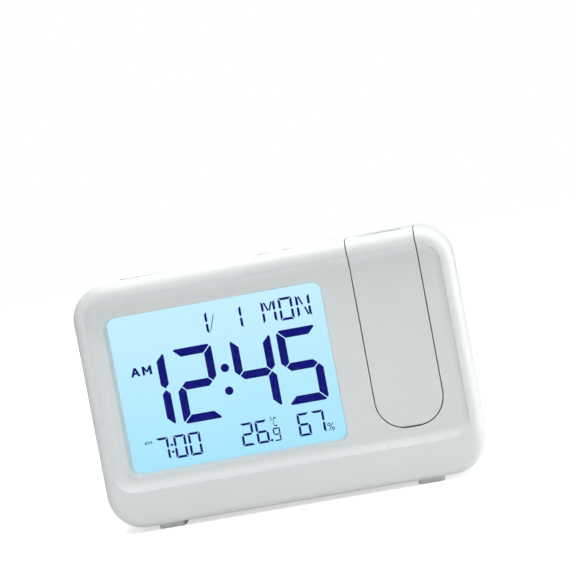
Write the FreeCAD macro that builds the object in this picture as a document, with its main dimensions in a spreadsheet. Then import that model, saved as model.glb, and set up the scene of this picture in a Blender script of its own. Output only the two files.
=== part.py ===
"""Projection alarm clock with a backlit display and a projector module that flips out of its face.

Millimetres, +Z up, +X to the right as seen from the front, front face towards -Y.
The origin is the middle of the footprint, on the surface that the clock stands on.
"""
import FreeCAD, Part
import Sketcher
import math
import os
import re

Vector = FreeCAD.Vector
Rotation = FreeCAD.Rotation

os.makedirs("parts", exist_ok=True)
doc = FreeCAD.newDocument("projection_alarm_clock")

# Driving dimensions
SIZES = {
    # Housing
    "case_width": 160.0,
    "case_height": 102.7,
    "case_depth": 42.0,
    "corner_radius": 15.0,
    "edge_round": 5.5,
    "low_edge_round": 2.5,
    "rear_edge_round": 4.0,
    "wall": 2.2,
    "front_shell_depth": 29.0,
    "overrun": 1.0,
    "overcut": 0.1,
    "end_flat": 0.01,
    # Dished face
    "chin_height": 15.0,
    "rim_side": 5.3,
    "rim_top": 6.7,
    "recess_corner": 8.3,
    "recess_depth": 4.8,
    "cove_radius": 4.6,
    "floor_wall": 2.2,
    # Feet
    "foot_height": 2.1,
    "foot_width": 11.0,
    "foot_depth": 9.0,
    "foot_end": 25.3,
    "foot_inset": 8.0,
    "foot_seat": 0.6,
    "foot_round": 1.5,
    "foot_edge": 0.4,
    # Display
    "window_side": 7.1,
    "window_drop": 8.5,
    "window_post": 14.175,
    "window_collar": 3.5,
    "window_draft": 0.8,
    "window_rise": 6.35,
    "window_corner": 3.6,
    "pane_thickness": 1.2,
    "pane_margin": 2.5,
    "pane_corner": 1.5,
    "cell_thickness": 2.8,
    "cell_margin": 2.0,
    "cell_corner": 0.3,
    "contact_ledge": 4.8,
    "guide_thickness": 3.0,
    "guide_margin": 1.0,
    "guide_corner": 0.5,
    "strip_width": 1.2,
    "strip_end": 4.0,
    "tray_wall": 0.8,
    "tray_back": 1.0,
    "tray_corner": 2.0,
    "tray_inner_corner": 0.8,
    "layer_gap": 0.1,
    "connector_width": 2.0,
    "connector_end": 5.0,
    # Boards
    "board_thickness": 1.6,
    "board_corner": 1.0,
    "board_side": 9.3,
    "board_drop": 7.85,
    "board_skirt": 5.7,
    "board_boss_radius": 2.5,
    "chip_side": 12.0,
    "chip_height": 1.8,
    "chip_rise": 26.0,
    "crystal_offset": 12.0,
    "crystal_rise": 30.0,
    "crystal_radius": 1.5,
    "crystal_length": 8.0,
    "plug_end": 3.6,
    "plug_width": 3.2,
    "plug_depth": 3.0,
    "plug_height": 4.0,
    "board_boss_side": 6.6,
    "board_boss_rise": 4.55,
    "board_boss_drop": 17.6,
    "small_screw_radius": 0.95,
    "small_screw_length": 6.0,
    "small_head_radius": 1.9,
    "small_head_height": 1.3,
    "small_slot_length": 2.28,
    "small_slot_width": 0.45,
    "thread_gap": 0.05,
    # Case screws
    "case_screw_side": 5.6,
    "case_screw_low": 14.0,
    "case_screw_drop": 17.8,
    "case_boss_radius": 2.7,
    "case_screw_radius": 1.25,
    "case_screw_length": 14.0,
    "case_head_radius": 2.3,
    "case_head_height": 1.6,
    "case_slot_reach": 1.38,
    "case_slot_half": 0.3,
    "case_slot_depth": 0.96,
    "head_sink": 2.4,
    "head_gap": 0.2,
    # Projector module
    "module_side": 23.15,
    "module_width": 27.95,
    "module_low": 22.2,
    "module_corner": 12.0,
    "module_depth": 25.5,
    "module_wall": 2.0,
    "seam": 0.45,
    "lip_round": 1.0,
    "pivot_setback": 4.2,
    "cover_gap": 0.1,
    "cover_setback": 1.0,
    "pin_radius": 1.25,
    "pin_bore": 0.6,
    "pin_gap": 0.04,
    "pin_inside": 5.0,
    "pin_end": 0.8,
    "pin_boss_radius": 3.2,
    "post_radius": 1.7,
    "post_side": 9.75,
    "post_rise": 10.3,
    "post_drop": 12.5,
    "washer_radius": 1.9,
    "washer_gap": 0.12,
    # Projector well
    "well_side_gap": 0.6,
    "well_back_gap": 1.0,
    "well_wall": 1.6,
    "well_flange": 1.6,
    "flange_side": 2.0,
    "flange_low": 8.0,
    "well_screw_side": 12.0,
    "well_screw_drop": 1.0,
    "ear_radius": 2.9,
    "fit_gap": 0.15,
    # Optical train
    "lens_setback": 15.2,
    "barrel_radius": 7.0,
    "barrel_wall": 0.8,
    "shoulder": 1.0,
    "chamber_radius": 8.0,
    "chamber_wall": 1.1,
    "chamber_drop": 54.8,
    "chamber_rise": 23.0,
    "barrel_sink": 2.3,
    "cell_length": 11.0,
    "cell_sink": 5.0,
    "lens_radius": 5.6,
    "lens_thickness": 4.4,
    "lens_rim": 1.4,
    "lens_lip": 0.5,
    "lens_seat": 1.0,
    "running_gap": 0.05,
    "ring_radius": 8.9,
    "ring_wall": 1.0,
    "ring_head": 1.4,
    "ring_sink": 0.5,
    "ring_skirt": 8.0,
    "ring_edge": 0.4,
    "ring_lip": 0.3,
    "ring_mouth": 0.5,
    "ring_mouth_depth": 0.8,
    "ring_gap": 0.3,
    "flute_count": 30,
    "flute_radius": 0.35,
    "condenser_rise": 12.0,
    "condenser_thickness": 4.2,
    "condenser_crown": 2.6,
    "slide_thickness": 1.6,
    "slide_width": 9.6,
    "slide_height": 9.2,
    "spacer_wall": 0.9,
    "spacer_step": 0.75,
    "screw_end_room": 0.4,
    "led_radius": 2.5,
    "led_height": 6.4,
    "led_flange": 2.9,
    "led_flange_height": 1.0,
    "led_board_width": 19.0,
    "sink_width": 10.0,
    "sink_depth": 11.0,
    "sink_height": 3.6,
    "fin_count": 4,
    "fin_thickness": 1.0,
    "sink_base": 1.2,
    "lead_radius": 0.35,
    "lead_bend": 1.6,
    "lead_inset": 2.0,
    # Keys on top
    "key_proud": 0.5,
    "key_travel": 0.5,
    "key_gap": 0.3,
    "key_flange": 0.9,
    "flange_thickness": 1.0,
    "key_crown": 0.4,
    "stem_radius": 1.6,
    "top_key_inset": 16.0,
    "snooze_side": 29.15,
    "snooze_length": 16.7,
    "snooze_width": 9.0,
    "top_key_side": 82.4,
    "top_key_pitch": 11.0,
    "top_key_radius": 2.7,
    "top_board_drop": 8.8,
    "top_board_depth": 10.0,
    "top_board_side": 19.0,
    "top_board_end": 17.6,
    "top_post_end": 24.0,
    "switch_side": 6.0,
    "switch_height": 3.3,
    # Rear controls
    "panel_sink": 1.0,
    "panel_side": 24.0,
    "panel_end": 30.0,
    "panel_height": 20.0,
    "panel_corner": 5.0,
    "control_drop": 22.8,
    "rear_key_side": 35.0,
    "rear_key_pitch": 18.0,
    "rear_key_count": 4,
    "rear_key_width": 11.0,
    "rear_key_height": 6.5,
    "rear_key_proud": 0.7,
    "rear_stem": 0.8,
    "rear_board_side": 13.0,
    "rear_board_end": 36.0,
    "rear_board_height": 12.0,
    "slider_side": 45.0,
    "slider_travel": 4.0,
    "slider_width": 3.0,
    "slider_height": 2.6,
    "slider_plate": 1.0,
    "slider_plate_side": 0.8,
    "slider_plate_rim": 1.2,
    "slider_post_side": 11.0,
    "slider_groove_pitch": 0.85,
    "slider_groove_width": 0.35,
    "slider_groove_depth": 0.3,
    "slider_base_width": 8.6,
    "slider_base_height": 3.6,
    "sensor_end": 17.0,
    "sensor_side": 5.0,
    "sensor_height": 2.0,
    "slot_width": 6.0,
    "slot_height": 1.2,
    "slot_pitch": 3.0,
    # Sounder and power inlet
    "sounder_end": 34.0,
    "sounder_rise": 38.0,
    "sounder_radius": 10.0,
    "sounder_height": 4.2,
    "sound_hole_radius": 0.9,
    "sound_hole_ring": 4.2,
    "sound_hole_count": 6,
    "port_margin": 1.5,
    "port_depth": 1.0,
    "inlet_end": 22.0,
    "inlet_rise": 13.0,
    "inlet_width": 9.0,
    "inlet_height": 3.2,
    "inlet_depth": 7.4,
    "inlet_sink": 0.6,
    "inlet_lip": 0.35,
    "inlet_floor": 1.0,
    "tongue_width": 6.4,
    "tongue_thickness": 0.7,
    "tongue_corner": 0.2,
    "power_board_width": 16.0,
    "power_board_depth": 12.0,
    # Batteries
    "bay_x": -24.0,
    "bay_rise": 18.5,
    "bay_wall": 1.5,
    "bay_depth": 11.8,
    "cell_radius": 5.25,
    "cell_long": 44.5,
    "cell_pitch": 11.2,
    "nub_radius": 1.9,
    "nub_height": 0.8,
    "contact_thickness": 0.4,
    "contact_spring": 3.2,
    "contact_width": 7.0,
    "leaf_thickness": 0.6,
    "leaf_inset": 1.0,
    "door_margin": 1.0,
    "door_gap": 0.3,
    "door_thickness": 2.0,
    "door_tab_width": 7.0,
    "door_tab_reach": 1.6,
    "door_tab_thickness": 1.2,
    "door_root": 2.0,
    "door_hook_root": 0.5,
    "door_grip_count": 3,
    "door_grip_drop": 4.0,
    "door_grip_pitch": 1.6,
    "door_grip_length": 12.0,
    "door_grip_width": 0.6,
    "door_grip_depth": 0.4,
}

# Places worked out from the driving dimensions
PLACES = {
    "front_y": "-case_depth / 2",
    "rear_y": "case_depth / 2",
    "under_z": "foot_height",
    "top_z": "foot_height + case_height",
    "mid_z": "foot_height + case_height / 2",
    "split_y": "front_y + front_shell_depth",
    "inner_rear_y": "rear_y - wall",
    "inner_top_z": "top_z - wall",
    "inner_low_z": "under_z + wall",
    "floor_y": "front_y + recess_depth",
    "floor_back_y": "floor_y + floor_wall",
    "left_x": "-case_width / 2",
    "right_x": "case_width / 2",
    "recess_width": "case_width - 2 * rim_side",
    "recess_height": "case_height - chin_height - rim_top",
    "recess_low_z": "under_z + chin_height",
    "recess_top_z": "recess_low_z + recess_height",
    "module_x": "right_x - rim_side - module_side",
    "window_left": "left_x + rim_side + window_side",
    "window_right": "module_x - module_half - window_post",
    "window_low": "recess_low_z + window_rise",
    "window_top": "recess_top_z - window_drop",
    "window_x": "(window_left + window_right) / 2",
    "window_width": "window_right - window_left",
    "window_height": "window_top - window_low",
    "pane_y": "floor_back_y + window_collar",
    "cell_y": "pane_y + pane_thickness + layer_gap",
    "guide_y": "cell_y + cell_thickness + layer_gap",
    "tray_y": "guide_y + guide_thickness + layer_gap",
    "board_y": "tray_y + tray_back + layer_gap",
    "board_back_y": "board_y + board_thickness",
    "tray_margin": "pane_margin + layer_gap",
    "tray_low": "window_low - contact_ledge - layer_gap",
    "connector_z": "tray_low + connector_width / 2 + 3 * layer_gap",
    "board_left": "window_left - board_side",
    "board_right": "window_right + board_side",
    "board_low": "window_low - board_skirt",
    "board_rise": "window_top - board_drop - board_low",
    "board_boss_low": "window_low + board_boss_rise",
    "board_boss_high": "window_top - board_boss_drop",
    "case_screw_x": "case_width / 2 - case_screw_side",
    "case_screw_high": "top_z - case_screw_drop",
    "module_half": "module_width / 2",
    "module_low_z": "under_z + module_low",
    "module_back_y": "front_y + module_depth",
    "pivot_y": "floor_y + pivot_setback",
    "pivot_rise": "module_back_y - pivot_y",
    "pivot_z": "module_low_z + pivot_rise",
    "well_half": "module_half + well_side_gap",
    "well_radius": "pivot_rise + well_back_gap",
    "axis_y": "front_y + lens_setback",
    "barrel_top": "top_z - barrel_sink",
    "ring_top": "top_z - ring_sink",
    "ring_low": "ring_top - ring_skirt",
    "ring_bore": "barrel_radius + running_gap",
    "cell_top": "barrel_top - cell_sink + fit_gap",
    "post_low": "chamber_low - module_low_z + post_rise",
    "post_high": "top_z - module_low_z - post_drop",
    "chamber_low": "top_z - chamber_drop",
    "chamber_top": "chamber_low + chamber_rise",
    "snooze_x": "left_x + snooze_side",
    "top_board_left": "left_x + top_board_side",
    "top_board_right": "top_key_x + top_board_end",
    "top_key_x": "left_x + top_key_side",
    "key_y": "front_y + top_key_inset",
    "top_board_z": "top_z - top_board_drop",
    "control_z": "top_z - control_drop",
    "panel_left": "left_x + panel_side",
    "panel_right": "right_x - panel_end",
    "rear_key_x": "left_x + rear_key_side",
    "rear_board_left": "left_x + rear_board_side",
    "rear_board_right": "right_x - rear_board_end",
    "slider_x": "right_x - slider_side",
    "sensor_x": "left_x + sensor_end",
    "sounder_x": "right_x - sounder_end",
    "panel_y": "rear_y - panel_sink",
    "switch_face_y": "inner_rear_y - fit_gap - flange_thickness - rear_stem - fit_gap - key_travel",
    "rear_board_y": "switch_face_y - switch_height",
    "bay_length": "cell_long + 2 * contact_thickness + contact_spring + fit_gap",
    "bay_height": "2 * cell_radius + cell_pitch + 2 * fit_gap",
    "bay_left": "bay_x - bay_length / 2",
    "bay_low": "under_z + bay_rise",
    "bay_floor_y": "inner_rear_y - bay_depth",
    "battery_y": "bay_floor_y + fit_gap + cell_radius",
    "door_low": "bay_low - door_margin",
    "door_width": "bay_length + 2 * door_margin",
    "door_height": "bay_height + 2 * door_margin",
    "door_y": "rear_y - door_thickness",
    "inlet_x": "right_x - inlet_end",
    "inlet_z": "under_z + inlet_rise",
    "foot_spacing": "case_width - 2 * foot_end",
    "foot_y": "case_depth / 2 - foot_inset",
}

sheet = doc.addObject("Spreadsheet::Sheet", "Sizes")
for row, (alias, value) in enumerate(SIZES.items(), start=1):
    sheet.set(f"A{row}", alias)
    sheet.set(f"B{row}", str(value))
    sheet.setAlias(f"B{row}", alias)
doc.recompute()

nodes = {}


# Expressions and values
def expand(text):
    """Write an expression of size and place names as one that reads the sheet."""
    def swap(match):
        word = match.group(0)
        if word in PLACES:
            return "(" + expand(PLACES[word]) + ")"
        if word in SIZES:
            return "Sizes." + word
        return word
    return re.sub(r"[a-z][a-z_]+", swap, str(text))


def value(text):
    """The number that an expression of size and place names stands for."""
    def swap(match):
        word = match.group(0)
        if word in PLACES:
            return "(" + str(value(PLACES[word])) + ")"
        if word in SIZES:
            return "(" + str(SIZES[word]) + ")"
        return word
    return float(FreeCAD.Units.Quantity(re.sub(r"[a-z][a-z_]+", swap, str(text))).Value)


def bind(item, prop, text):
    item.setExpression(prop, expand(text))


def keep(label, item):
    """Name a finished sub-part as a node of its own."""
    item.Label = label
    nodes[label] = item
    return item


# Primitives and booleans
def box(name, x, y, z, length, width, height):
    """A block from its low corner, its sizes along X, Y and Z."""
    item = doc.addObject("Part::Box", name)
    for prop, text in zip(("Length", "Width", "Height"), (length, width, height)):
        bind(item, prop, text)
    place(item, x, y, z)
    return item


def place(item, x, y, z):
    for prop, text in zip("xyz", (x, y, z)):
        bind(item, ".Placement.Base." + prop, text)


TURN = {
    "X": Rotation(Vector(0, 1, 0), 90),
    "Y": Rotation(Vector(1, 0, 0), -90),
    "Z": Rotation(),
}


def rod(name, axis, x, y, z, radius, length):
    """A cylinder that starts at a point and runs along an axis."""
    item = doc.addObject("Part::Cylinder", name)
    bind(item, "Radius", radius)
    bind(item, "Height", length)
    item.Placement = FreeCAD.Placement(Vector(), TURN[axis])
    place(item, x, y, z)
    return item


def fuse(name, *items):
    item = doc.addObject("Part::MultiFuse", name)
    item.Shapes = list(items)
    return item


def cut(name, base, *tools):
    item = doc.addObject("Part::Cut", name)
    item.Base = base
    item.Tool = tools[0] if len(tools) == 1 else fuse(name + "_tools", *tools)
    return item


def common(name, first, second):
    item = doc.addObject("Part::Common", name)
    item.Base = first
    item.Tool = second
    return item


def group(name, items):
    item = doc.addObject("Part::Compound", name)
    item.Links = list(items)
    return item


# Sketches
FRAMES = {
    "XY": ("XY_Plane", Rotation(), 1),
    "XZ": ("XZ_Plane", Rotation(Vector(1, 0, 0), 90), -1),
    "YZ": ("YZ_Plane", Rotation(Vector(1, 1, 1), 120), 1),
}


def sketch_in(body, plane, offset, name):
    """A sketch of a body on one of its origin planes, moved to a place along the plane's axis."""
    role, _, sense = FRAMES[plane]
    sketch = body.newObject("Sketcher::SketchObject", name)
    origin = [part for part in body.Origin.OriginFeatures if part.Role == role][0]
    sketch.AttachmentSupport = [(origin, "")]
    sketch.MapMode = "FlatFace"
    bind(sketch, ".AttachmentOffset.Base.z", offset if sense > 0 else f"-({offset})")
    return sketch


def free_sketch(plane, offset, name):
    """A sketch that stands by itself, for an extrusion or a revolution."""
    sketch = doc.addObject("Sketcher::SketchObject", name)
    sketch.Placement = FreeCAD.Placement(Vector(), FRAMES[plane][1])
    axis = {"XY": "z", "XZ": "y", "YZ": "x"}[plane]
    bind(sketch, ".Placement.Base." + axis, offset)
    return sketch


def pin_point(sketch, geometry, end, x, y):
    """Hold an end of a line or an arc at a place given by two expressions."""
    for kind, text, axis in (("DistanceX", x, -2), ("DistanceY", y, -1)):
        number = value(text)
        if abs(number) < 1e-9:
            sketch.addConstraint(Sketcher.Constraint("PointOnObject", geometry, end, axis))
            continue
        index = sketch.addConstraint(Sketcher.Constraint(kind, -1, 1, geometry, end, number))
        bind(sketch, f"Constraints[{index}]", text)


def trace(sketch, steps):
    """Draw a closed outline. A step is a corner, or a corner with the radius and the sense of the
    arc that leads to the next corner: 1 turns left, -1 turns right."""
    count = len(steps)
    first = sketch.GeometryCount
    ends = []
    for index, step in enumerate(steps):
        start = Vector(value(step[0]), value(step[1]), 0)
        after = steps[(index + 1) % count]
        finish = Vector(value(after[0]), value(after[1]), 0)
        if len(step) == 2:
            sketch.addGeometry(Part.LineSegment(start, finish))
            ends.append((1, 2))
            continue
        radius = value(step[2])
        sense = step[3]
        chord = finish - start
        rise = math.sqrt(max(radius ** 2 - (chord.Length / 2) ** 2, 0))
        side = Vector(-chord.y, chord.x, 0).normalize() * (rise * sense)
        centre = (start + finish) / 2 + side
        tail, head = (start, finish) if sense > 0 else (finish, start)
        angles = [math.atan2(p.y - centre.y, p.x - centre.x) for p in (tail, head)]
        if angles[1] < angles[0]:
            angles[1] += 2 * math.pi
        circle = Part.Circle(centre, Vector(0, 0, 1), radius)
        sketch.addGeometry(Part.ArcOfCircle(circle, *angles))
        ends.append((1, 2) if sense > 0 else (2, 1))
    for index, step in enumerate(steps):
        geometry = first + index
        following = first + (index + 1) % count
        pin_point(sketch, geometry, ends[index][0], step[0], step[1])
        joint = Sketcher.Constraint("Coincident", geometry, ends[index][1], following,
                                    ends[(index + 1) % count][0])
        sketch.addConstraint(joint)
        if len(step) > 2:
            size = sketch.addConstraint(Sketcher.Constraint("Radius", geometry, value(step[2])))
            bind(sketch, f"Constraints[{size}]", step[2])


def round_box(sketch, x, y, width, height, radius):
    """A rounded rectangle about a centre."""
    radius = f"({radius})"
    left, right = f"{x} - ({width}) / 2", f"{x} + ({width}) / 2"
    low, high = f"{y} - ({height}) / 2", f"{y} + ({height}) / 2"
    trace(sketch, [
        (f"{left} + {radius}", low),
        (f"{right} - {radius}", low, radius, 1),
        (right, f"{low} + {radius}"),
        (right, f"{high} - {radius}", radius, 1),
        (f"{right} - {radius}", high),
        (f"{left} + {radius}", high, radius, 1),
        (left, f"{high} - {radius}"),
        (left, f"{low} + {radius}", radius, 1),
    ])


def square(sketch, x, y, width, height):
    """A plain rectangle about a centre."""
    left, right = f"{x} - ({width}) / 2", f"{x} + ({width}) / 2"
    low, high = f"{y} - ({height}) / 2", f"{y} + ({height}) / 2"
    trace(sketch, [(left, low), (right, low), (right, high), (left, high)])


def circle(sketch, x, y, radius):
    """A circle about a centre."""
    centre = Vector(value(x), value(y), 0)
    index = sketch.addGeometry(Part.Circle(centre, Vector(0, 0, 1), value(radius)))
    pin_point(sketch, index, 3, x, y)
    size = sketch.addConstraint(Sketcher.Constraint("Radius", index, value(radius)))
    bind(sketch, f"Constraints[{size}]", radius)


# Features of a body
def new_body(name):
    return doc.addObject("PartDesign::Body", name)


def feature(body, kind, name, profile, length, reverse=False):
    """A pad or a pocket of a given length."""
    item = body.newObject("PartDesign::" + kind, name)
    item.Profile = profile
    bind(item, "Length", length)
    item.Reversed = reverse
    profile.Visibility = False
    doc.recompute()
    return item


def edge_names(shape, test):
    return [f"Edge{number}" for number, edge in enumerate(shape.Edges, start=1) if test(edge)]


def at(number, target):
    return abs(number - target) < 1e-4


def fillet(body, name, test, radius):
    """Round the edges of a body's tip that pass a test."""
    tip = body.Tip
    item = body.newObject("PartDesign::Fillet", name)
    item.Base = (tip, edge_names(tip.Shape, test))
    bind(item, "Radius", radius)
    doc.recompute()
    return item


def revolution(body, name, profile, vertical=True):
    """Turn a profile a full turn about its sketch's own upright or level axis."""
    item = body.newObject("PartDesign::Revolution", name)
    item.Profile = profile
    item.ReferenceAxis = (profile, ["V_Axis" if vertical else "H_Axis"])
    item.Angle = 360.0
    doc.recompute()
    return item


# Front housing
def front_case():
    outline = free_sketch("XZ", "front_y", "front_outline")
    round_box(outline, "0", "mid_z", "case_width", "case_height", "corner_radius")
    block = doc.addObject("Part::Extrusion", "front_block")
    block.Base = outline
    block.DirMode = "Custom"
    block.Dir = Vector(0, 1, 0)
    block.Solid = True
    bind(block, "LengthFwd", "front_shell_depth")
    doc.recompute()
    soft = value("edge_round")
    tight = value("low_edge_round")
    low = value("under_z")
    bend = value("under_z + corner_radius")
    rounding = []
    for number, edge in enumerate(block.Shape.Edges, start=1):
        bounds = edge.BoundBox
        if not (at(bounds.YMin, value("front_y")) and at(bounds.YMax, value("front_y"))):
            continue
        start, finish = soft, soft
        if at(bounds.ZMax, low):
            start, finish = tight, tight
        elif edge.CenterOfMass.z < bend and bounds.ZMin < low + SIZES["overcut"]:
            rising = edge.valueAt(edge.FirstParameter).z < edge.valueAt(edge.LastParameter).z
            start, finish = (tight, soft) if rising else (soft, tight)
        rounding.append((number, start, finish))
    softened = doc.addObject("Part::Fillet", "front_softened")
    softened.Base = block
    softened.Edges = rounding
    doc.recompute()

    body = new_body("front_moulding")
    body.BaseFeature = softened
    doc.recompute()

    dish = sketch_in(body, "XZ", "front_y", "dish_outline")
    round_box(dish, "0", "recess_low_z + recess_height / 2", "recess_width", "recess_height",
              "recess_corner")
    feature(body, "Pocket", "dish", dish, "recess_depth")
    floor = value("floor_y")
    fillet(body, "dish_cove",
           lambda edge: at(edge.BoundBox.YMin, floor) and at(edge.BoundBox.YMax, floor),
           "cove_radius")

    hollow = sketch_in(body, "XZ", "split_y", "hollow_outline")
    round_box(hollow, "0", "mid_z", "case_width - 2 * wall", "case_height - 2 * wall",
              "corner_radius - wall")
    feature(body, "Pocket", "hollow", hollow, "split_y - floor_back_y", reverse=True)

    collar = sketch_in(body, "XZ", "floor_back_y", "window_collar_outline")
    window_outline(collar, "tray_margin + tray_wall")
    feature(body, "Pad", "window_collar_block", collar, "window_collar", reverse=True)

    slot = sketch_in(body, "XZ", "front_y", "module_slot")
    module_outline(slot, "seam", "top_z + overrun")
    feature(body, "Pocket", "module_opening", slot, "module_depth + seam")

    bosses = sketch_in(body, "XZ", "floor_back_y", "board_boss_outline")
    for x in ("window_left - board_boss_side", "window_right + board_boss_side"):
        for z in ("board_boss_low", "board_boss_high"):
            circle(bosses, x, z, "board_boss_radius")
            circle(bosses, x, z, "small_screw_radius + thread_gap")
    feature(body, "Pad", "board_bosses", bosses, "board_y - floor_back_y", reverse=True)

    pillars = sketch_in(body, "XZ", "floor_back_y", "case_boss_outline")
    for x, z in case_screw_places():
        circle(pillars, x, z, "case_boss_radius")
        circle(pillars, x, z, "case_screw_radius + thread_gap")
    feature(body, "Pad", "case_bosses", pillars, "split_y - floor_back_y", reverse=True)

    keys = sketch_in(body, "XY", "top_z", "top_key_holes")
    round_box(keys, "snooze_x", "key_y", "snooze_length + 2 * key_gap",
              "snooze_width + 2 * key_gap", "snooze_width / 2 + key_gap - end_flat")
    for x in ("top_key_x", "top_key_x + top_key_pitch"):
        circle(keys, x, "key_y", "top_key_radius + key_gap")
    feature(body, "Pocket", "key_holes", keys, "wall + overrun")

    posts = sketch_in(body, "XY", "inner_top_z", "top_board_post_outline")
    for x in top_post_places():
        circle(posts, x, "key_y", "board_boss_radius")
        circle(posts, x, "key_y", "small_screw_radius + thread_gap")
    feature(body, "Pad", "top_board_posts", posts, "inner_top_z - top_board_z", reverse=True)

    well_holes = sketch_in(body, "XZ", "floor_back_y", "well_screw_outline")
    for x, z in well_screw_places():
        circle(well_holes, x, z, "small_screw_radius + thread_gap")
    feature(body, "Pocket", "well_screw_holes", well_holes,
            "small_screw_length - well_flange + screw_end_room", reverse=True)

    seats = sketch_in(body, "XY", "under_z", "front_foot_seats")
    for x in ("-foot_spacing / 2", "foot_spacing / 2"):
        round_box(seats, x, "-foot_y", "foot_width", "foot_depth", "foot_round")
    feature(body, "Pocket", "foot_seats", seats, "foot_seat", reverse=True)

    # The lower edge of the opening is relieved along the path of the module's foot
    swing = free_sketch("XZ", "floor_y", "swing_outline")
    module_outline(swing, "seam", "pivot_z")
    sweep = doc.addObject("Part::Revolution", "swing_sweep")
    sweep.Source = swing
    sweep.Axis = Vector(1, 0, 0)
    sweep.Angle = 90
    sweep.Solid = True
    bind(sweep, ".Base.y", "pivot_y")
    bind(sweep, ".Base.z", "pivot_z")
    front = free_sketch("XZ", "floor_y", "window_front_outline")
    window_outline(front, "window_draft")
    back = free_sketch("XZ", "pane_y", "window_back_outline")
    window_outline(back, "0")
    window = doc.addObject("Part::Loft", "drafted_window")
    window.Sections = [front, back]
    window.Solid = True
    window.Ruled = True
    keep("front_case", cut("front_relieved", body, sweep, window))


def window_outline(sketch, margin):
    """The display opening's outline, wider by a margin all round."""
    round_box(sketch, "window_x", "window_low + window_height / 2",
              f"window_width + 2 * ({margin})", f"window_height + 2 * ({margin})",
              f"window_corner + {margin}")


def module_outline(sketch, gap, high):
    """The module's round-ended outline, with a gap all round, up to a height."""
    half = f"(module_half + {gap})"
    low = f"(module_low_z - {gap})"
    radius = f"(module_corner + {gap})"
    trace(sketch, [
        (f"module_x - {half} + {radius}", low),
        (f"module_x + {half} - {radius}", low, radius, 1),
        (f"module_x + {half}", f"{low} + {radius}"),
        (f"module_x + {half}", high),
        (f"module_x - {half}", high),
        (f"module_x - {half}", f"{low} + {radius}", radius, 1),
    ])


def case_screw_places():
    return [(f"{side}case_screw_x", f"case_screw_{level}")
            for side in ("-", "") for level in ("low", "high")]


def top_post_places():
    return ["top_board_left + top_post_end", "top_key_x - top_key_pitch"]


def well_screw_places():
    low = "(pivot_z - well_radius - well_wall - flange_low / 2 - well_screw_drop)"
    return [("module_x - well_screw_side", low), ("module_x + well_screw_side", low),
            ("module_x - well_half - well_wall - ear_radius", "(inner_top_z - ear_radius - fit_gap)")]


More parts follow.
